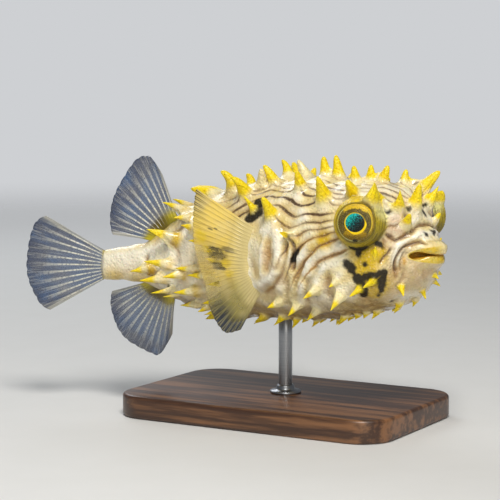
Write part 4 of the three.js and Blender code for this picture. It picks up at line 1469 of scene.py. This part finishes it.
@dataclass
class Stand:
    """A wooden plate with rounded corners, a steel rod and a collar."""

    plan: BodyPlan
    length: float = 104.0
    width: float = 66.0
    thick: float = 8.0
    corner: float = 12.0
    edge: float = 1.2
    rod: float = 2.4
    under: float = 0.49
    rod_top: float = 36.5

    def plate(self, finish: bpy.types.Material) -> bpy.types.Object:
        """The plate: a slab with its corners and then its edges bevelled."""
        bm = bmesh.new()
        bmesh.ops.create_cube(bm, size=1.0)
        size = Vector((self.length, self.width, self.thick)) * MM
        bmesh.ops.scale(bm, vec=size, verts=bm.verts)
        upright = [e for e in bm.edges if abs(e.verts[0].co.z - e.verts[1].co.z) > 1e-4]
        bevelled(bm, upright, self.corner, 12)
        rims = [f for f in bm.faces if abs(f.normal.z) > 0.9]
        bevelled(bm, list({e for f in rims for e in f.edges}), self.edge, 4)
        x, y, _ = self.plan.centre(self.under)
        bmesh.ops.translate(bm, vec=Vector((x, y, self.thick / 2)) * MM, verts=bm.verts)
        piece = as_piece(bm, "stand_plate", finish)
        for face in piece.data.polygons:
            face.use_smooth = abs(face.normal.z) < 0.999
        return piece

    def metal(self, finish: bpy.types.Material) -> list[bpy.types.Object]:
        """The rod up into the belly, and the collar at its foot."""
        t, r, top = self.thick, self.rod, self.rod_top
        rod = [(0, t - 3), (r, t - 3), (r, t), (r, t + 8), (r, top - 8), (r, top - 0.5)]
        rod += [(r - 0.5, top), (0, top)]
        collar = [
            (r, t - 0.1), (5.2, t - 0.1), (5.5, t + 0.1), (5.5, t + 0.7), (5.2, t + 1.0), (3.6, t + 1.2),
            (3.2, t + 1.6), (3.1, t + 2.6), (2.9, t + 2.9), (r, t + 3.0), (r, t - 0.1),
        ]
        middle, named = self.plan.centre(self.under), {"stand_pillar": rod, "stand_collar": collar}
        return [as_piece(spun(profile, 64, MM, middle), name, finish) for name, profile in named.items()]


# ---------------- materials


def tone(red: int, green: int, blue: int) -> Colour:
    """A colour given the way a paint card gives it, made linear."""
    parts = [c / 255 for c in (red, green, blue)]
    linear = [c / 12.92 if c <= 0.04045 else ((c + 0.055) / 1.055) ** 2.4 for c in parts]
    return (*linear, 1.0)


@dataclass(frozen=True)
class Value:
    """A number, place or colour in a material; sums are written with it as with numbers."""

    graph: "Graph"
    socket: bpy.types.NodeSocket

    def __add__(self, other: "Value | float") -> "Value":
        """The sum."""
        return self.graph.math("ADD", self, other)

    def __sub__(self, other: "Value | float") -> "Value":
        """The difference."""
        return self.graph.math("SUBTRACT", self, other)

    def __rsub__(self, other: float) -> "Value":
        """What is left of a number."""
        return self.graph.math("SUBTRACT", other, self)

    def __mul__(self, other: "Value | float") -> "Value":
        """The product."""
        return self.graph.math("MULTIPLY", self, other)

    def __truediv__(self, other: "Value | float") -> "Value":
        """The quotient."""
        return self.graph.math("DIVIDE", self, other)

    def __pow__(self, other: float) -> "Value":
        """The power."""
        return self.graph.math("POWER", self, other)

    def __abs__(self) -> "Value":
        """The size without its sign."""
        return self.graph.math("ABSOLUTE", self)

    __radd__, __rmul__ = __add__, __mul__


Given = Value | float | tuple[float, ...]


class Graph:
    """A material's nodes, built by what they do."""

    def __init__(self, name: str) -> None:
        """Starts a material with one shader."""
        self.material = bpy.data.materials.new(name)
        self.material.use_nodes = True
        self.tree = self.material.node_tree
        self.tree.nodes.clear()
        self.shader = self.tree.nodes.new("ShaderNodeBsdfPrincipled")
        output = self.tree.nodes.new("ShaderNodeOutputMaterial")
        self.tree.links.new(self.shader.outputs[0], output.inputs[0])

    def feed(self, socket: bpy.types.NodeSocket, given: Given) -> None:
        """Links a socket or sets it."""
        if isinstance(given, Value):
            self.tree.links.new(given.socket, socket)
        else:
            socket.default_value = given

    def set(self, **inputs: Given) -> None:
        """Sets the shader's inputs, named with underscores for spaces."""
        for name, given in inputs.items():
            self.feed(self.shader.inputs[name.replace("_", " ")], given)

    def add(self, kind: str, inputs: dict[int | str, Given], out: int | str = 0, **options: object) -> Value:
        """A new node.

        Args:
            kind: Its type.
            inputs: What its inputs read.
            out: The output that counts.
            options: Its settings.

        Returns:
            That output.
        """
        node = self.tree.nodes.new(f"ShaderNode{kind}")
        for name, option in options.items():
            setattr(node, name, option)
        for name, given in inputs.items():
            self.feed(node.inputs[name], given)
        return Value(self, node.outputs[out])

    def math(self, op: str, a: Given, b: Given = 0.0, clamp: bool = False) -> Value:
        """One sum on numbers."""
        return self.add("Math", {0: a, 1: b}, operation=op, use_clamp=clamp)

    def step(self, x: Value, low: Given, high: Given, to: float = 1.0) -> Value:
        """A smooth step from 0 at low to a value at high."""
        ends = {"Value": x, "From Min": low, "From Max": high, "To Max": to}
        return self.add("MapRange", ends, interpolation_type="SMOOTHSTEP")

    def mix(self, factor: Given, a: Given, b: Given) -> Value:
        """A colour part of the way from a to b."""
        return self.add("Mix", {0: factor, 6: a, 7: b}, out=2, data_type="RGBA")

    def layers(self, colour: Given, *coats: tuple[Given, Given]) -> Value:
        """A colour with others laid over it in turn, each by its own share."""
        for share, ink in coats:
            colour = self.mix(share, colour, ink)
        return colour

    def attribute(self, name: str) -> list[Value]:
        """The three numbers stored under a name."""
        stored = self.add("Attribute", {}, out="Vector", attribute_name=name)
        parts = self.add("SeparateXYZ", {0: stored}).socket.node
        return [Value(self, part) for part in parts.outputs]

    def vector(self, x: Given, y: Given, z: Given) -> Value:
        """Three numbers as one vector."""
        return self.add("CombineXYZ", {0: x, 1: y, 2: z})

    def place(self, scale: tuple[float, float, float] = (1, 1, 1)) -> Value:
        """The piece's own coordinates, stretched."""
        return self.add("Mapping", {"Vector": self.add("TexCoord", {}, out="Object"), "Scale": scale})

    def noise(self, where: Value, scale: float, detail: float = 3.0, rough: float = 0.5) -> Value:
        """Soft noise from 0 to 1."""
        look = {"Vector": where, "Scale": scale, "Detail": detail, "Roughness": rough}
        return self.add("TexNoise", look, out="Fac")

    def cells(self, where: Value, scale: float) -> Value:
        """Distance to the nearest of scattered points."""
        return self.add("TexVoronoi", {"Vector": where, "Scale": scale}, out="Distance")

    def bump(self, height: Value, distance: float, strength: float, over: Value | None = None) -> Value:
        """A fine relief in the shading, over another if one is given."""
        under = {} if over is None else {"Normal": over}
        return self.add("Bump", {"Strength": strength, "Distance": distance, "Height": height, **under})


@dataclass(frozen=True)
class CoatFinish:
    """Painted hide: cream with brown stripes, black marks and yellow spines, with painted yellow-brown shade
    on the underside, the lower muzzle, the hollows, the creases and down-facing surfaces, and painted
    highlights on raised folds and the eye domes.
    """

    cream: Colour = tone(242, 222, 156)
    ivory: Colour = tone(253, 245, 216)
    gold: Colour = tone(220, 184, 24)
    rose: Colour = tone(214, 180, 150)
    # the painted shade of the underside, the lower muzzle and down-facing surfaces, mottled between these
    # two
    under: Colour = tone(128, 100, 40)
    pale_underside_shade: Colour = tone(182, 156, 96)
    stripe: Colour = tone(74, 44, 14)
    stripe_edge: Colour = tone(186, 138, 56)
    black: Colour = tone(14, 8, 2)
    # the painted shade along the creases
    fold: Colour = tone(84, 52, 26)
    # the painted highlight on raised folds, also laid over the rear flank
    ridge: Colour = tone(255, 250, 234)
    # the painted shade in the hollows of the folds
    hollow_shade: Colour = tone(176, 128, 48)
    spine: Colour = tone(250, 222, 4)
    spine_deep: Colour = tone(222, 172, 2)
    spine_foot: Colour = tone(242, 228, 170)
    dome: Colour = tone(190, 168, 22)
    dome_gold: Colour = tone(250, 214, 22)
    # the painted highlight on the domes' upper front
    dome_highlight: Colour = tone(250, 246, 170)
    # dark olive of the rings, the lid's edge and the brow, and the painted shade on the domes' lower front
    dome_dark: Colour = tone(58, 46, 2)
    lip: Colour = tone(206, 186, 84)
    rust: Colour = tone(212, 160, 44)

    def domed(self, g: Graph, here: Value) -> tuple[Value, Value]:
        """The eye domes' colour and fine rings: golden above, a painted highlight ahead and above, painted
        shade ahead and below, and dark at the brow.
        """
        _, ahead, above = g.attribute("dome")
        wander = g.noise(here, 260, 2)
        far = g.math("SQRT", ahead * ahead + above * above)
        turn = g.math("ARCSINE", g.math("MINIMUM", far, 1.0))
        rings = g.step(g.math("SINE", turn * 92.0 + wander * 9.0), -0.2, 0.9)
        rings = rings * g.step(g.noise(here, 500, 2), 0.3, 0.6)
        high = above + (wander - 0.5) * 0.6 - ahead * 0.75
        brow = g.step(above, 0.45, 0.75) * g.step(ahead, 0.0, 0.35)
        brow = brow * g.step(g.noise(here, 240, 3), 0.47, 0.58)
        colour = g.layers(
            self.dome,
            (g.step(high, -0.75, 0.35), self.dome_gold),
            # painted highlight on the upper front
            (g.step(ahead * 0.7 + above * 0.65, 0.62, 0.92, 0.85), self.dome_highlight),
            (rings * 0.55, self.dome_dark),
            # painted shade on the lower front
            (g.step(ahead * 0.7 - above * 0.7, 0.65, 1.0, 0.6), self.dome_dark),
            (g.step(far, 0.81, 0.775, 0.7), self.dome_dark),
            (brow * 0.85, self.dome_dark),
        )
        return colour, rings

    def make(self) -> bpy.types.Material:
        """The coat's material."""
        g = Graph("painted_coat")
        level, spacing, ink = g.attribute("lines")
        black, shade_and_marks, rust = g.attribute("marks")
        gold, under, lip = g.attribute("tint")
        grown, yellow, rose = g.attribute("growth")
        dome, _, _ = g.attribute("dome")
        raised, hollow_shade, cheek = g.attribute("folds")
        here = g.place()
        broad, fine = g.noise(here, 90, 3), g.noise(here, 420, 4, 0.6)
        grain, pores = g.noise(here, 1500, 3, 0.6), g.cells(here, 900)
        golden = g.step(gold + (broad - 0.5) * 0.45, 0.08, 0.8)
        # the painted shade of the underside, mottled dark and pale
        belly = g.mix(g.step(fine, 0.35, 0.7), self.under, self.pale_underside_shade)
        off = g.math("PINGPONG", level + (fine - 0.5) * 0.24, 0.5) * spacing
        wide = ink * (0.34 + broad * 0.55)
        halo = g.step(off, wide * 3.8, wide * 0.5) * g.step(ink, 0.06, 0.3)
        line = g.step(ink, 0.08, 0.85) * g.step(off, wide * 1.45, wide * 0.45)
        domed, rings = self.domed(g, here)
        on_dome = g.step(dome, 0.25, 0.95)
        edge = black + (fine - 0.5) * 2.0
        tipped = yellow + (fine - 0.5) * 0.5
        horn = g.mix(g.step(g.noise(here, 700, 3, 0.6), 0.5, 0.75, 0.6), self.spine, self.spine_deep)
        colour = g.layers(
            self.cream,
            (g.step(broad, 0.35, 0.65), self.ivory),
            (rose * g.step(fine, 0.3, 0.6), self.rose),
            # painted highlight on the raised folds, and the whitening of the rear flank
            (raised * 0.8, self.ridge),
            (golden, self.gold),
            # painted shade on the underside, the lower muzzle and down-facing surfaces
            (under * 0.9, belly),
            # painted shade in the hollows
            (hollow_shade * 0.75, self.hollow_shade),
            (halo * g.step(cheek, -0.7, 1.0, 0.85), self.stripe_edge),
            (line * 0.94, self.stripe),
            # painted shade along the creases
            (shade_and_marks * 0.85, self.fold),
            # fine ivory mottling, which also paints the glints of the wet micro-relief
            (g.step(grain, 0.54, 0.76, 0.4), self.ivory),
            (on_dome, domed),
            (lip, g.mix(g.step(fine, 0.35, 0.65), self.lip, self.gold)),
            (rust * 0.9, g.mix(g.step(fine, 0.4, 0.9, 0.5), self.rust, self.stripe)),
            (g.step(edge, 0.8, -0.3, 0.97), self.black),
            (g.step(grown, 0.03, 0.16, 0.85) * (1.0 - golden), self.spine_foot),
            (g.step(tipped, 0.05, 0.85), horn),
        )
        wrinkle = fine * 0.7 + grain * 0.3 - line * 0.35 - rings * on_dome * 0.5
        relief = g.bump(wrinkle, 0.001, 0.65, over=g.bump(g.step(pores, 0.1, 0.6), 0.00032, 0.55))
        dull = g.math("MAXIMUM", g.step(edge, 0.8, -0.3), on_dome * 0.75)
        dull = g.math("MAXIMUM", dull, g.step(tipped, 0.05, 0.85, 0.8))
        g.set(Base_Color=colour, Roughness=0.3 + fine * 0.25, Normal=relief)
        g.set(Coat_Weight=0.8 - dull * 0.8, Coat_Roughness=0.16, Specular_IOR_Level=0.45)
        g.set(Subsurface_Weight=0.1, Subsurface_Scale=0.0014, Subsurface_Radius=(1.0, 0.6, 0.35))
        return g.material


@dataclass(frozen=True)
class IrisFinish:
    """Golden speckled iris, bright ring, and a dark pupil with a painted blue-green reflection."""

    gold: Colour = tone(206, 166, 34)
    bright: Colour = tone(244, 206, 44)
    brown: Colour = tone(72, 52, 14)
    brown_pale: Colour = tone(132, 116, 60)
    grey: Colour = tone(44, 38, 18)
    ring: Colour = tone(252, 214, 20)
    dark: Colour = tone(2, 10, 14)
    # the painted blue-green reflection in the pupil
    teal: Colour = tone(0, 202, 192)
    blue: Colour = tone(0, 66, 76)
    # a painted highlight along one side of the iris's edge
    rim_highlight: Colour = tone(204, 204, 132)
    notch: Colour = tone(20, 14, 4)
    pupil_edge: float = 3.05

    def make(self) -> bpy.types.Material:
        """The eyeball's material."""
        g = Graph("iris_and_pupil")
        x, y, h = g.attribute("eye")
        r = g.math("SQRT", x * x + y * y)
        here = g.vector(x, y, h)
        speck, soft = g.noise(here, 4.5, 4, 0.7), g.noise(here, 1.1, 3)
        out = r + (soft - 0.5) * 1.4
        dusk = g.mix(g.step(speck, 0.4, 0.66), self.grey, self.brown_pale)
        lit = g.mix(g.step(speck, 0.42, 0.6), self.gold, self.bright)
        lit = g.mix(g.step(g.noise(here, 3.2, 4, 0.7), 0.52, 0.66, 0.75), lit, self.brown)
        band = g.step(r, 3.4, 3.8) * g.step(r, 5.9, 5.6)
        arc = g.step(r, 5.3, 5.45) * g.step(r, 5.8, 5.6) * g.step(x + y * 0.4, 2.5, 4.5)
        notch = (x * 0.8) ** 2.0 + (y + 5.9) ** 2.0
        iris = g.layers(
            self.brown,
            (g.step(speck, 0.36, 0.6), self.gold),
            (g.step(out, 4.4, 4.8) * g.step(y, 1.2, 3.2), lit),
            (g.step(out, 4.9, 4.4) * g.step(y, -2.0, -0.4) * 0.92, dusk),
            (band * g.step(abs(x) - abs(y) * 0.8, 0.2, 1.6) * 0.9, dusk),
            (g.step(y, -3.5, -4.7) * 0.62, self.brown),
            (arc * 0.7, self.ring),
            # painted highlight: a pale line round one side of the iris's edge
            (g.step(r, 5.75, 6.0) * g.step(x + y * 0.5, -0.5, -3.0), self.rim_highlight),
            (g.step(notch, 0.75, 0.2), self.notch),
        )
        # painted reflection: blue-green shine speckled over the dark pupil, brighter towards one side
        shine = (y - x) * 0.13 + (0.72 - g.cells(here, 2.9)) + (speck - 0.5) * 1.2
        edge = self.pupil_edge
        beyond = g.step(r, edge - 0.04, edge + 0.04)
        rim = r - g.step(x * 0.6 - y * 0.8, 0.8, 3.0, 0.5)
        colour = g.layers(
            self.dark,
            (g.step(shine, -0.1, 0.4), self.blue),
            (g.step(shine, 0.25, 0.75), self.teal),
            (beyond, iris),
            (beyond * g.step(rim, edge + 0.32, edge + 0.16), self.ring),
        )
        g.set(Base_Color=colour, Roughness=0.4, Normal=g.bump(speck, 0.0001, 0.4))
        g.set(Coat_Weight=0.06, Coat_Roughness=0.06, Specular_IOR_Level=0.14)
        return g.material


@dataclass(frozen=True)
class CorneaFinish:
    """Clear resin dome, with a painted reflection: pale and more opaque towards its rim."""

    tint: Colour = tone(196, 200, 160)
    # opacity of the pale tint at the rim, which paints the rim's reflection, and in the middle
    edge: float = 0.22
    middle: float = 0.012

    def make(self) -> bpy.types.Material:
        """The dome's material."""
        g = Graph("clear_cornea")
        wet = g.noise(g.place(), 300, 2)
        x, y, _ = g.attribute("eye")
        r = g.math("SQRT", x * x + y * y)
        # painted reflection: the pale tint thickens towards the rim
        alpha = g.step(r, 5.2, 6.4, self.edge - self.middle) + self.middle
        g.set(Base_Color=self.tint, Roughness=0.04, Alpha=alpha, IOR=1.38)
        g.set(Normal=g.bump(wet, 0.00002, 0.2))
        return g.material


@dataclass(frozen=True)
class WebFinish:
    """A clear fin: pale rays in a bluish web, fleshy at the root."""

    name: str
    web: Colour = tone(38, 80, 128)
    web_deep: Colour = tone(12, 38, 80)
    ray: Colour = tone(238, 234, 212)
    flesh: Colour = tone(206, 186, 84)
    flesh_deep: Colour = tone(92, 76, 18)
    flesh_until: float = 0.2
    flesh_dark: float = 0.0
    thin: float = 0.54

    def rays(self, g: Graph, along: Value, share: Value, wide: float) -> Value:
        """Where the rays run: each parts in two towards the margin."""
        part = g.step(share, 0.5, 1.05, 0.2)
        off = abs(abs(g.math("FRACT", along) - 0.5) - part)
        return g.step(off * (0.72 + share * 0.8), wide, wide * 0.3)

    def make(self) -> bpy.types.Material:
        """The fin's material."""
        g = Graph(self.name)
        along, share, across = g.attribute("web")
        here = g.place()
        cloud, fine = g.noise(here, 130, 3), g.noise(here, 900, 3)
        joint = g.noise(g.vector(share * 26.0, along, 0.0), 1.4, 2)
        streak = g.noise(g.vector(share * 2.5, along * 7.0, 0.0), 1.0, 3)
        ray = self.rays(g, along, share, 0.22) * g.step(joint, 0.15, 0.6) * g.step(share, 1.04, 0.35)
        shore = abs(across - 0.5)
        root = g.step(share + (cloud - 0.5) * 0.12, self.flesh_until, self.flesh_until * 0.3)
        flesh = g.mix(g.step(shore, 0.42, 0.1), self.flesh, self.flesh_deep)
        colour = g.layers(
            self.web_deep,
            (g.step(cloud + share * -0.25, 0.2, 0.5), self.web),
            (g.step(streak, 0.5, 0.75, 0.35), self.ray),
            (ray, self.ray),
            (g.step(shore, 0.42, 0.5, 0.45), self.ray),
            (root, g.mix(self.flesh_dark, self.flesh, flesh)),
        )
        alpha = self.thin + (cloud - 0.5) * 0.25
        alpha = alpha + g.step(share, 0.55, 1.0, 0.14) + g.step(shore, 0.4, 0.5, 0.25)
        alpha = g.math("MAXIMUM", g.math("MAXIMUM", alpha, ray * 0.82), root, clamp=True)
        g.set(Base_Color=colour, Alpha=alpha, Roughness=0.3, Normal=g.bump(fine, 0.0002, 0.35))
        g.set(Coat_Weight=0.3, Coat_Roughness=0.15)
        return g.material


@dataclass(frozen=True)
class FanFinish(WebFinish):
    """The pectoral fans: golden above, pale at the root, smudged in the middle and dark at the tip."""

    name: str = "golden_fan"
    gold: Colour = tone(246, 216, 100)
    gold_line: Colour = tone(150, 112, 30)
    pale: Colour = tone(226, 208, 148)
    root: Colour = tone(206, 190, 132)
    smudge: Colour = tone(46, 40, 16)
    glow: Colour = tone(238, 206, 14)
    grey: Colour = tone(176, 164, 92)
    grey_line: Colour = tone(92, 86, 48)
    tip: Colour = tone(16, 30, 46)
    # dark dashes along the rays: place across, place along, half width and half length
    dashes: tuple[tuple[float, float, float, float], ...] = (
        (0.34, 0.32, 0.03, 0.15), (0.4, 0.54, 0.042, 0.2), (0.36, 0.6, 0.02, 0.12),
        (0.48, 0.6, 0.036, 0.14), (0.51, 0.5, 0.02, 0.08), (0.62, 0.72, 0.012, 0.08),
        (0.22, 0.68, 0.008, 0.05), (0.2, 0.58, 0.008, 0.04),
    )
    # bright yellow smears, in the same way
    glows: tuple[tuple[float, float, float, float], ...] = (
        (0.3, 0.84, 0.05, 0.12), (0.38, 0.74, 0.03, 0.12), (0.46, 0.4, 0.05, 0.14),
        (0.45, 0.66, 0.014, 0.16), (0.56, 0.36, 0.04, 0.12),
    )

    def make(self) -> bpy.types.Material:
        """The fan's material."""
        g = Graph(self.name)
        along, share, down = g.attribute("web")
        here = g.place()
        cloud, fine = g.noise(here, 150, 3), g.noise(here, 900, 3)
        streak = g.noise(g.vector(share * 2.0, along * 2.2, 0.0), 1.6, 3)
        ray = self.rays(g, along, share, 0.2)
        lower = g.step(down, 0.45, 0.8)
        smears = []
        for ink, marks in ((self.glow, self.glows), (self.smudge, self.dashes)):
            for across, out, wide, long in marks:
                x, y = (down - across) / wide, (share - out) / long
                gap = g.math("SQRT", x * x + y * y) + (fine - 0.5) * 1.2
                smears.append((g.step(gap, 1.25, 0.5) * (0.72 + ray * 0.2), ink))
        comb = g.step(share, 0.7, 1.0) * g.step(down, 0.3, 0.06) * (0.35 + ray * 0.6)
        tip = g.step(down, 0.6, 0.82) * g.step(share, 0.4, 0.85)
        band = g.step(share + ray * -0.04, 0.44, 0.08, 0.85)
        colour = g.layers(
            self.gold,
            (lower, self.grey),
            (g.step(cloud, 0.42, 0.7, 0.6), self.pale),
            (ray * g.step(streak, 0.35, 0.7, 0.6), g.mix(lower, self.gold_line, self.grey_line)),
            *smears,
            (comb, self.smudge),
            (tip * (1.0 - ray * 0.45), self.tip),
            (band, g.mix(ray * 0.22, self.root, self.gold_line)),
        )
        middle = g.step(down, 0.28, 0.42) * g.step(down, 0.78, 0.6) * g.step(share, 0.5, 0.85)
        alpha = g.step(down, 0.45, 0.2, 0.3) + 0.5 + tip * 0.3
        alpha = g.math("MAXIMUM", alpha, ray * 0.72) * (1.0 - middle * 0.6)
        alpha = g.math("MAXIMUM", alpha, g.step(share, 0.56, 0.16), clamp=True)
        g.set(Base_Color=colour, Alpha=alpha, Roughness=0.34, Normal=g.bump(fine, 0.0002, 0.35))
        g.set(Coat_Weight=0.25, Coat_Roughness=0.2)
        return g.material


@dataclass(frozen=True)
class WoodFinish:
    """Oiled walnut, its grain along the plate."""

    light: Colour = tone(134, 92, 58)
    dark: Colour = tone(66, 40, 24)

    def make(self) -> bpy.types.Material:
        """The plate's material."""
        g = Graph("oiled_walnut")
        bend = g.noise(g.place((6, 30, 30)), 1.0, 2)
        grain = g.noise(g.place((9, 150, 150)), 1.0, 5, 0.6)
        pores = g.noise(g.place((60, 1800, 1800)), 1.0, 2)
        ripple = g.math("PINGPONG", grain * 3.0 + bend, 0.5)
        colour = g.mix(g.step(ripple, 0.02, 0.45), self.dark, self.light)
        colour = g.mix(g.step(pores, 0.6, 0.75, 0.5), colour, self.dark)
        g.set(Base_Color=colour, Roughness=0.42, Normal=g.bump(pores, 0.0001, 0.4))
        g.set(Coat_Weight=0.25, Coat_Roughness=0.3)
        return g.material


@dataclass(frozen=True)
class SteelFinish:
    """Brushed steel, its fine lines round the rod."""

    steel: Colour = tone(176, 178, 182)
    shade: Colour = tone(132, 135, 140)

    def make(self) -> bpy.types.Material:
        """The rod's material."""
        g = Graph("brushed_steel_rod")
        brush = g.noise(g.place((120, 120, 9000)), 1.0, 3)
        colour = g.mix(brush, self.shade, self.steel)
        rough = 0.24 + brush * 0.16
        g.set(Base_Color=colour, Metallic=1.0, Roughness=rough, Normal=g.bump(brush, 0.00005, 0.3))
        return g.material


@dataclass(frozen=True)
class FloorFinish:
    """Plain pale floor that fades out far from the stand."""

    paint: Colour = tone(222, 222, 220)
    dust: Colour = tone(226, 226, 225)
    fade_from: float = 0.28
    fade_to: float = 1.3

    def make(self) -> bpy.types.Material:
        """The floor's material."""
        g = Graph("pale_floor")
        here = g.place()
        dust = g.noise(here, 60, 2)
        far = g.add("VectorMath", {0: here}, out="Value", operation="LENGTH")
        g.set(Base_Color=g.mix(dust, self.paint, self.dust), Roughness=0.7)
        g.set(Alpha=g.step(far, self.fade_to, self.fade_from))
        return g.material


# ---------------- studio


@dataclass
class Studio:
    """Floor, soft lights and the camera."""

    plan: BodyPlan
    azimuth: float = 30.0
    elevation: float = 6.0
    distance: float = 620.0
    lens: float = 128.6
    target: tuple[float, float, float] = (-12.0, 2.0, 58.0)
    slide: tuple[float, float] = (-12.85, 0.35)
    # name, place in metres, width in metres, power in watts and colour
    lamps: tuple[tuple, ...] = (
        ("key", (0.26, -0.36, 0.66), 0.24, 4.5, (1.0, 0.97, 0.92)),
        ("fill", (0.5, -0.6, 0.22), 0.36, 1.0, (1.0, 0.94, 0.82)),
        ("rim", (-0.5, 0.4, 0.5), 0.4, 1.6, (0.92, 0.96, 1.0)),
    )
    aim: tuple[float, float, float] = (0.0, 0.0, 0.055)

    def camera(self) -> None:
        """Points the camera at the middle of the fish from its right and front."""
        a, e = math.radians(self.azimuth), math.radians(self.elevation)
        back = np.array([math.sin(a) * math.cos(e), -math.cos(a) * math.cos(e), math.sin(e)])
        right = np.array([math.cos(a), math.sin(a), 0.0])
        target = np.array(self.target) + self.plan.shift
        target = target + right * self.slide[0] + np.cross(back, right) * self.slide[1]
        data = bpy.data.cameras.new("camera")
        data.lens, data.clip_start = self.lens, 0.01
        eye = bpy.data.objects.new("camera", data)
        eye.location = (target + back * self.distance) * MM
        eye.rotation_mode = "QUATERNION"
        eye.rotation_quaternion = Vector(-back).to_track_quat("-Z", "Y")
        bpy.context.scene.collection.objects.link(eye)
        bpy.context.scene.camera = eye

    def lamp(
        self, name: str, where: tuple[float, float, float], size: float, power: float,
        colour: tuple[float, float, float],
    ) -> None:
        """A soft square lamp that faces the fish."""
        data = bpy.data.lights.new(name, "AREA")
        data.size, data.energy, data.color = size, power, colour
        lamp = bpy.data.objects.new(name, data)
        lamp.location = where
        aim = Vector(self.aim) - Vector(where)
        lamp.rotation_mode = "QUATERNION"
        lamp.rotation_quaternion = aim.to_track_quat("-Z", "Y")
        bpy.context.scene.collection.objects.link(lamp)

    def build(self) -> None:
        """Sets the floor, the lamps, the sky's soft fill and the camera."""
        bm = bmesh.new()
        bmesh.ops.create_grid(bm, x_segments=4, y_segments=4, size=12.0)
        floor = as_piece(bm, "floor", FloorFinish().make())
        world = bpy.data.worlds.new("soft_studio")
        world.use_nodes = True
        tree = world.node_tree
        fill, backdrop = tree.nodes["Background"], tree.nodes.new("ShaderNodeBackground")
        seen, both = tree.nodes.new("ShaderNodeLightPath"), tree.nodes.new("ShaderNodeMixShader")
        fill.inputs["Color"].default_value = (0.86, 0.9, 0.95, 1)
        fill.inputs["Strength"].default_value = 0.2
        backdrop.inputs["Color"].default_value = tone(206, 208, 211)
        tree.links.new(seen.outputs["Is Camera Ray"], both.inputs[0])
        tree.links.new(fill.outputs[0], both.inputs[1])
        tree.links.new(backdrop.outputs[0], both.inputs[2])
        tree.links.new(both.outputs[0], tree.nodes["World Output"].inputs["Surface"])
        bpy.context.scene.world = world
        bpy.context.scene.view_settings.view_transform = "Standard"
        for lamp in self.lamps:
            self.lamp(*lamp)
        self.camera()


# ---------------- main


def main() -> None:
    """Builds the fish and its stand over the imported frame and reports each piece."""
    logging.basicConfig(level=logging.INFO, format="%(message)s")
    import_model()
    plan = BodyPlan()
    low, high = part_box("stand_rod")
    middle = (np.array(low) + np.array(high)) / 2 / MM
    plan.shift = (middle - plan.centre(Stand.under)) * np.array([1.0, 1.0, 0.0])

    seats = [EyeSeat(Side.RIGHT, plan), EyeSeat(Side.LEFT, plan)]
    skin = Skin(plan, seats, all_spines(plan)).build(CoatFinish().make())
    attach(skin, "root")
    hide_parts("snout", "head", "trunk", "tail_stem")

    iris, cornea = IrisFinish().make(), CorneaFinish().make()
    for seat in seats:
        ball, dome = Eye(seat).build(iris, cornea)
        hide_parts(f"eye_{seat.side.name.lower()}")
        for piece in (ball, dome):
            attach(piece, "root")

    clear = WebFinish("clear_web", flesh_until=0.07).make()
    fleshy = WebFinish("fleshy_web", flesh=tone(190, 176, 40), flesh_until=0.3, flesh_dark=0.9).make()
    fan = FanFinish().make()
    for fin, cad, finish, slot in zip(
        all_fins(plan),
        ("caudal_fin", "dorsal_fin", "anal_fin", "pectoral_fin_right", "pectoral_fin_left"),
        (clear, fleshy, fleshy, fan, fan),
        ("clear_fin", "clear_fin", "clear_fin", "yellow_fin", "yellow_fin"),
    ):
        piece = fin.build(finish)
        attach(piece, "root")
        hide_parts(cad)

    stand = Stand(plan)
    plate = stand.plate(WoodFinish().make())
    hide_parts("stand_base")
    rod, collar = stand.metal(SteelFinish().make())
    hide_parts("stand_rod")
    for piece in (plate, rod, collar):
        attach(piece, "root")
    LOG.info("stand: plate, rod and collar")

    Studio(plan).build()


if __name__ == "__main__":
    main()
